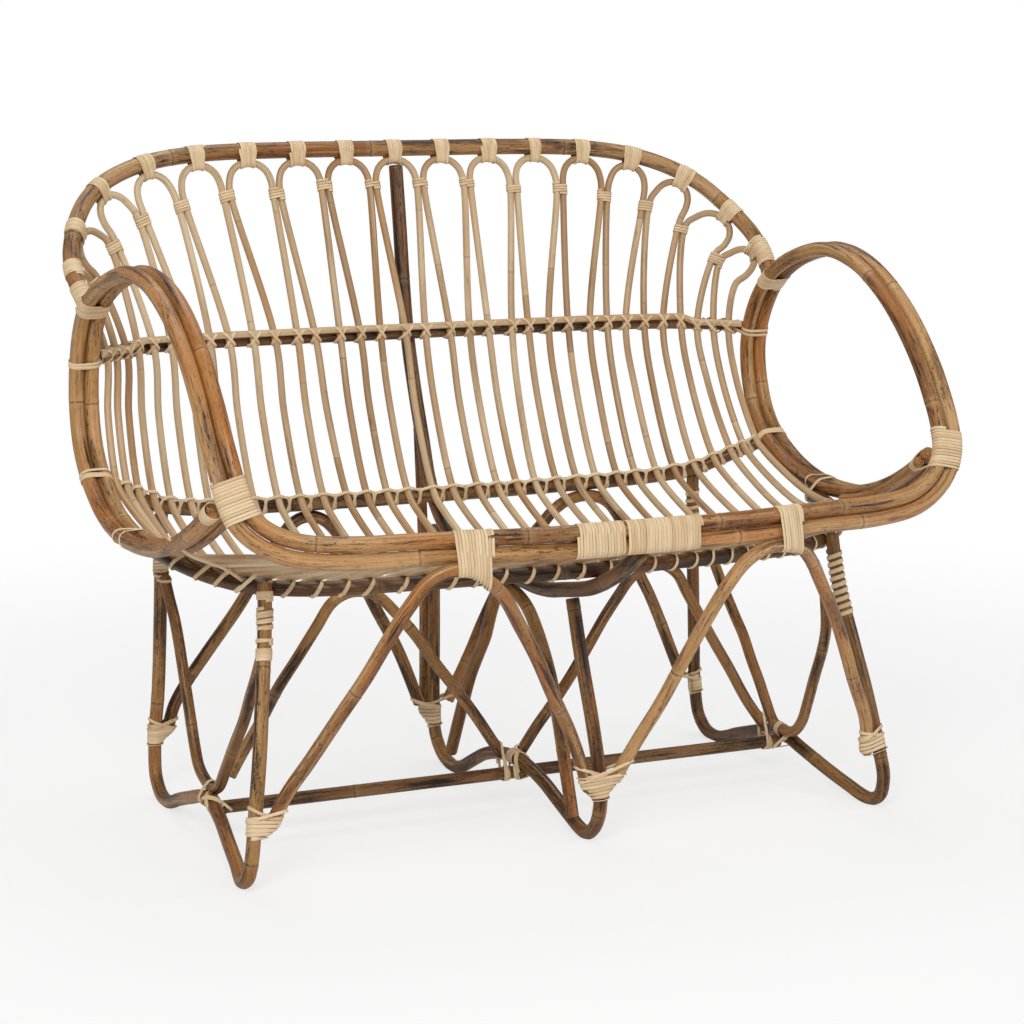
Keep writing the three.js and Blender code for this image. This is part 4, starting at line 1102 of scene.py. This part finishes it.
def softLamp(name, place, aim, size, power):
    data = bpy.data.lights.new(name, "AREA")
    data.shape = "DISK"
    data.size = size
    data.energy = power
    lamp = bpy.data.objects.new(name, data)
    bpy.context.scene.collection.objects.link(lamp)
    turn = (Vector((0, 0, aim)) - Vector(place)).to_track_quat("-Z", "Y")
    lamp.matrix_world = Matrix.Translation(place) @ turn.to_matrix().to_4x4()


def cameraOnly(tree, low, high):
    # one value for what the camera sees directly, another for the light itself
    path = tree.nodes.new("ShaderNodeLightPath")
    level = tree.nodes.new("ShaderNodeMapRange")
    level.inputs["To Min"].default_value = low
    level.inputs["To Max"].default_value = high
    tree.links.new(path.outputs["Is Camera Ray"], level.inputs["Value"])
    return level.outputs["Result"]


def setStudio(values):
    world = bpy.data.worlds.new("paleRoom")
    bpy.context.scene.world = world
    world.use_nodes = True
    background = world.node_tree.nodes["Background"]
    background.inputs["Color"].default_value = (1, 1, 1, 1)
    world.node_tree.links.new(cameraOnly(world.node_tree, values["world"], 1), background.inputs["Strength"])
    for name, lamp in values["lamps"].items():
        softLamp(name, *lamp)
    bm = bmesh.new()
    bmesh.ops.create_grid(bm, x_segments=1, y_segments=1, size=values["floorHalf"])
    mesh = bpy.data.meshes.new("floor")
    bm.to_mesh(mesh)
    bm.free()
    floor = bpy.data.objects.new("floor", mesh)
    bpy.context.scene.collection.objects.link(floor)
    pale = bpy.data.materials.new("paleFloor")
    pale.use_nodes = True
    tree = pale.node_tree
    shader = tree.nodes["Principled BSDF"]
    shader.inputs["Base Color"].default_value = (*[values["floorTone"]] * 3, 1)
    shader.inputs["Roughness"].default_value = values["floorDull"]
    shader.inputs["Specular IOR Level"].default_value = 0
    # away from the sofa the floor goes over into the white of the room
    place = tree.nodes.new("ShaderNodeTexCoord")
    away = tree.nodes.new("ShaderNodeVectorMath")
    away.operation = "LENGTH"
    tree.links.new(place.outputs["Object"], away.inputs[0])
    fade = tree.nodes.new("ShaderNodeMapRange")
    fade.interpolation_type = "SMOOTHSTEP"
    fade.inputs["From Min"].default_value = values["glowStart"]
    fade.inputs["From Max"].default_value = values["glowEnd"]
    fade.inputs["To Min"].default_value = values["nearGlow"]
    tree.links.new(away.outputs["Value"], fade.inputs["Value"])
    seen = tree.nodes.new("ShaderNodeMath")
    seen.operation = "MULTIPLY"
    tree.links.new(fade.outputs["Result"], seen.inputs[0])
    tree.links.new(cameraOnly(tree, 0, 1), seen.inputs[1])
    white = tree.nodes.new("ShaderNodeEmission")
    both = tree.nodes.new("ShaderNodeMixShader")
    tree.links.new(seen.outputs["Value"], both.inputs[0])
    tree.links.new(shader.outputs["BSDF"], both.inputs[1])
    tree.links.new(white.outputs["Emission"], both.inputs[2])
    tree.links.new(both.outputs["Shader"], tree.nodes["Material Output"].inputs["Surface"])
    mesh.materials.append(pale)


setStudio(studio)
bpy.context.scene.view_settings.view_transform = "Standard"
print("studio set")
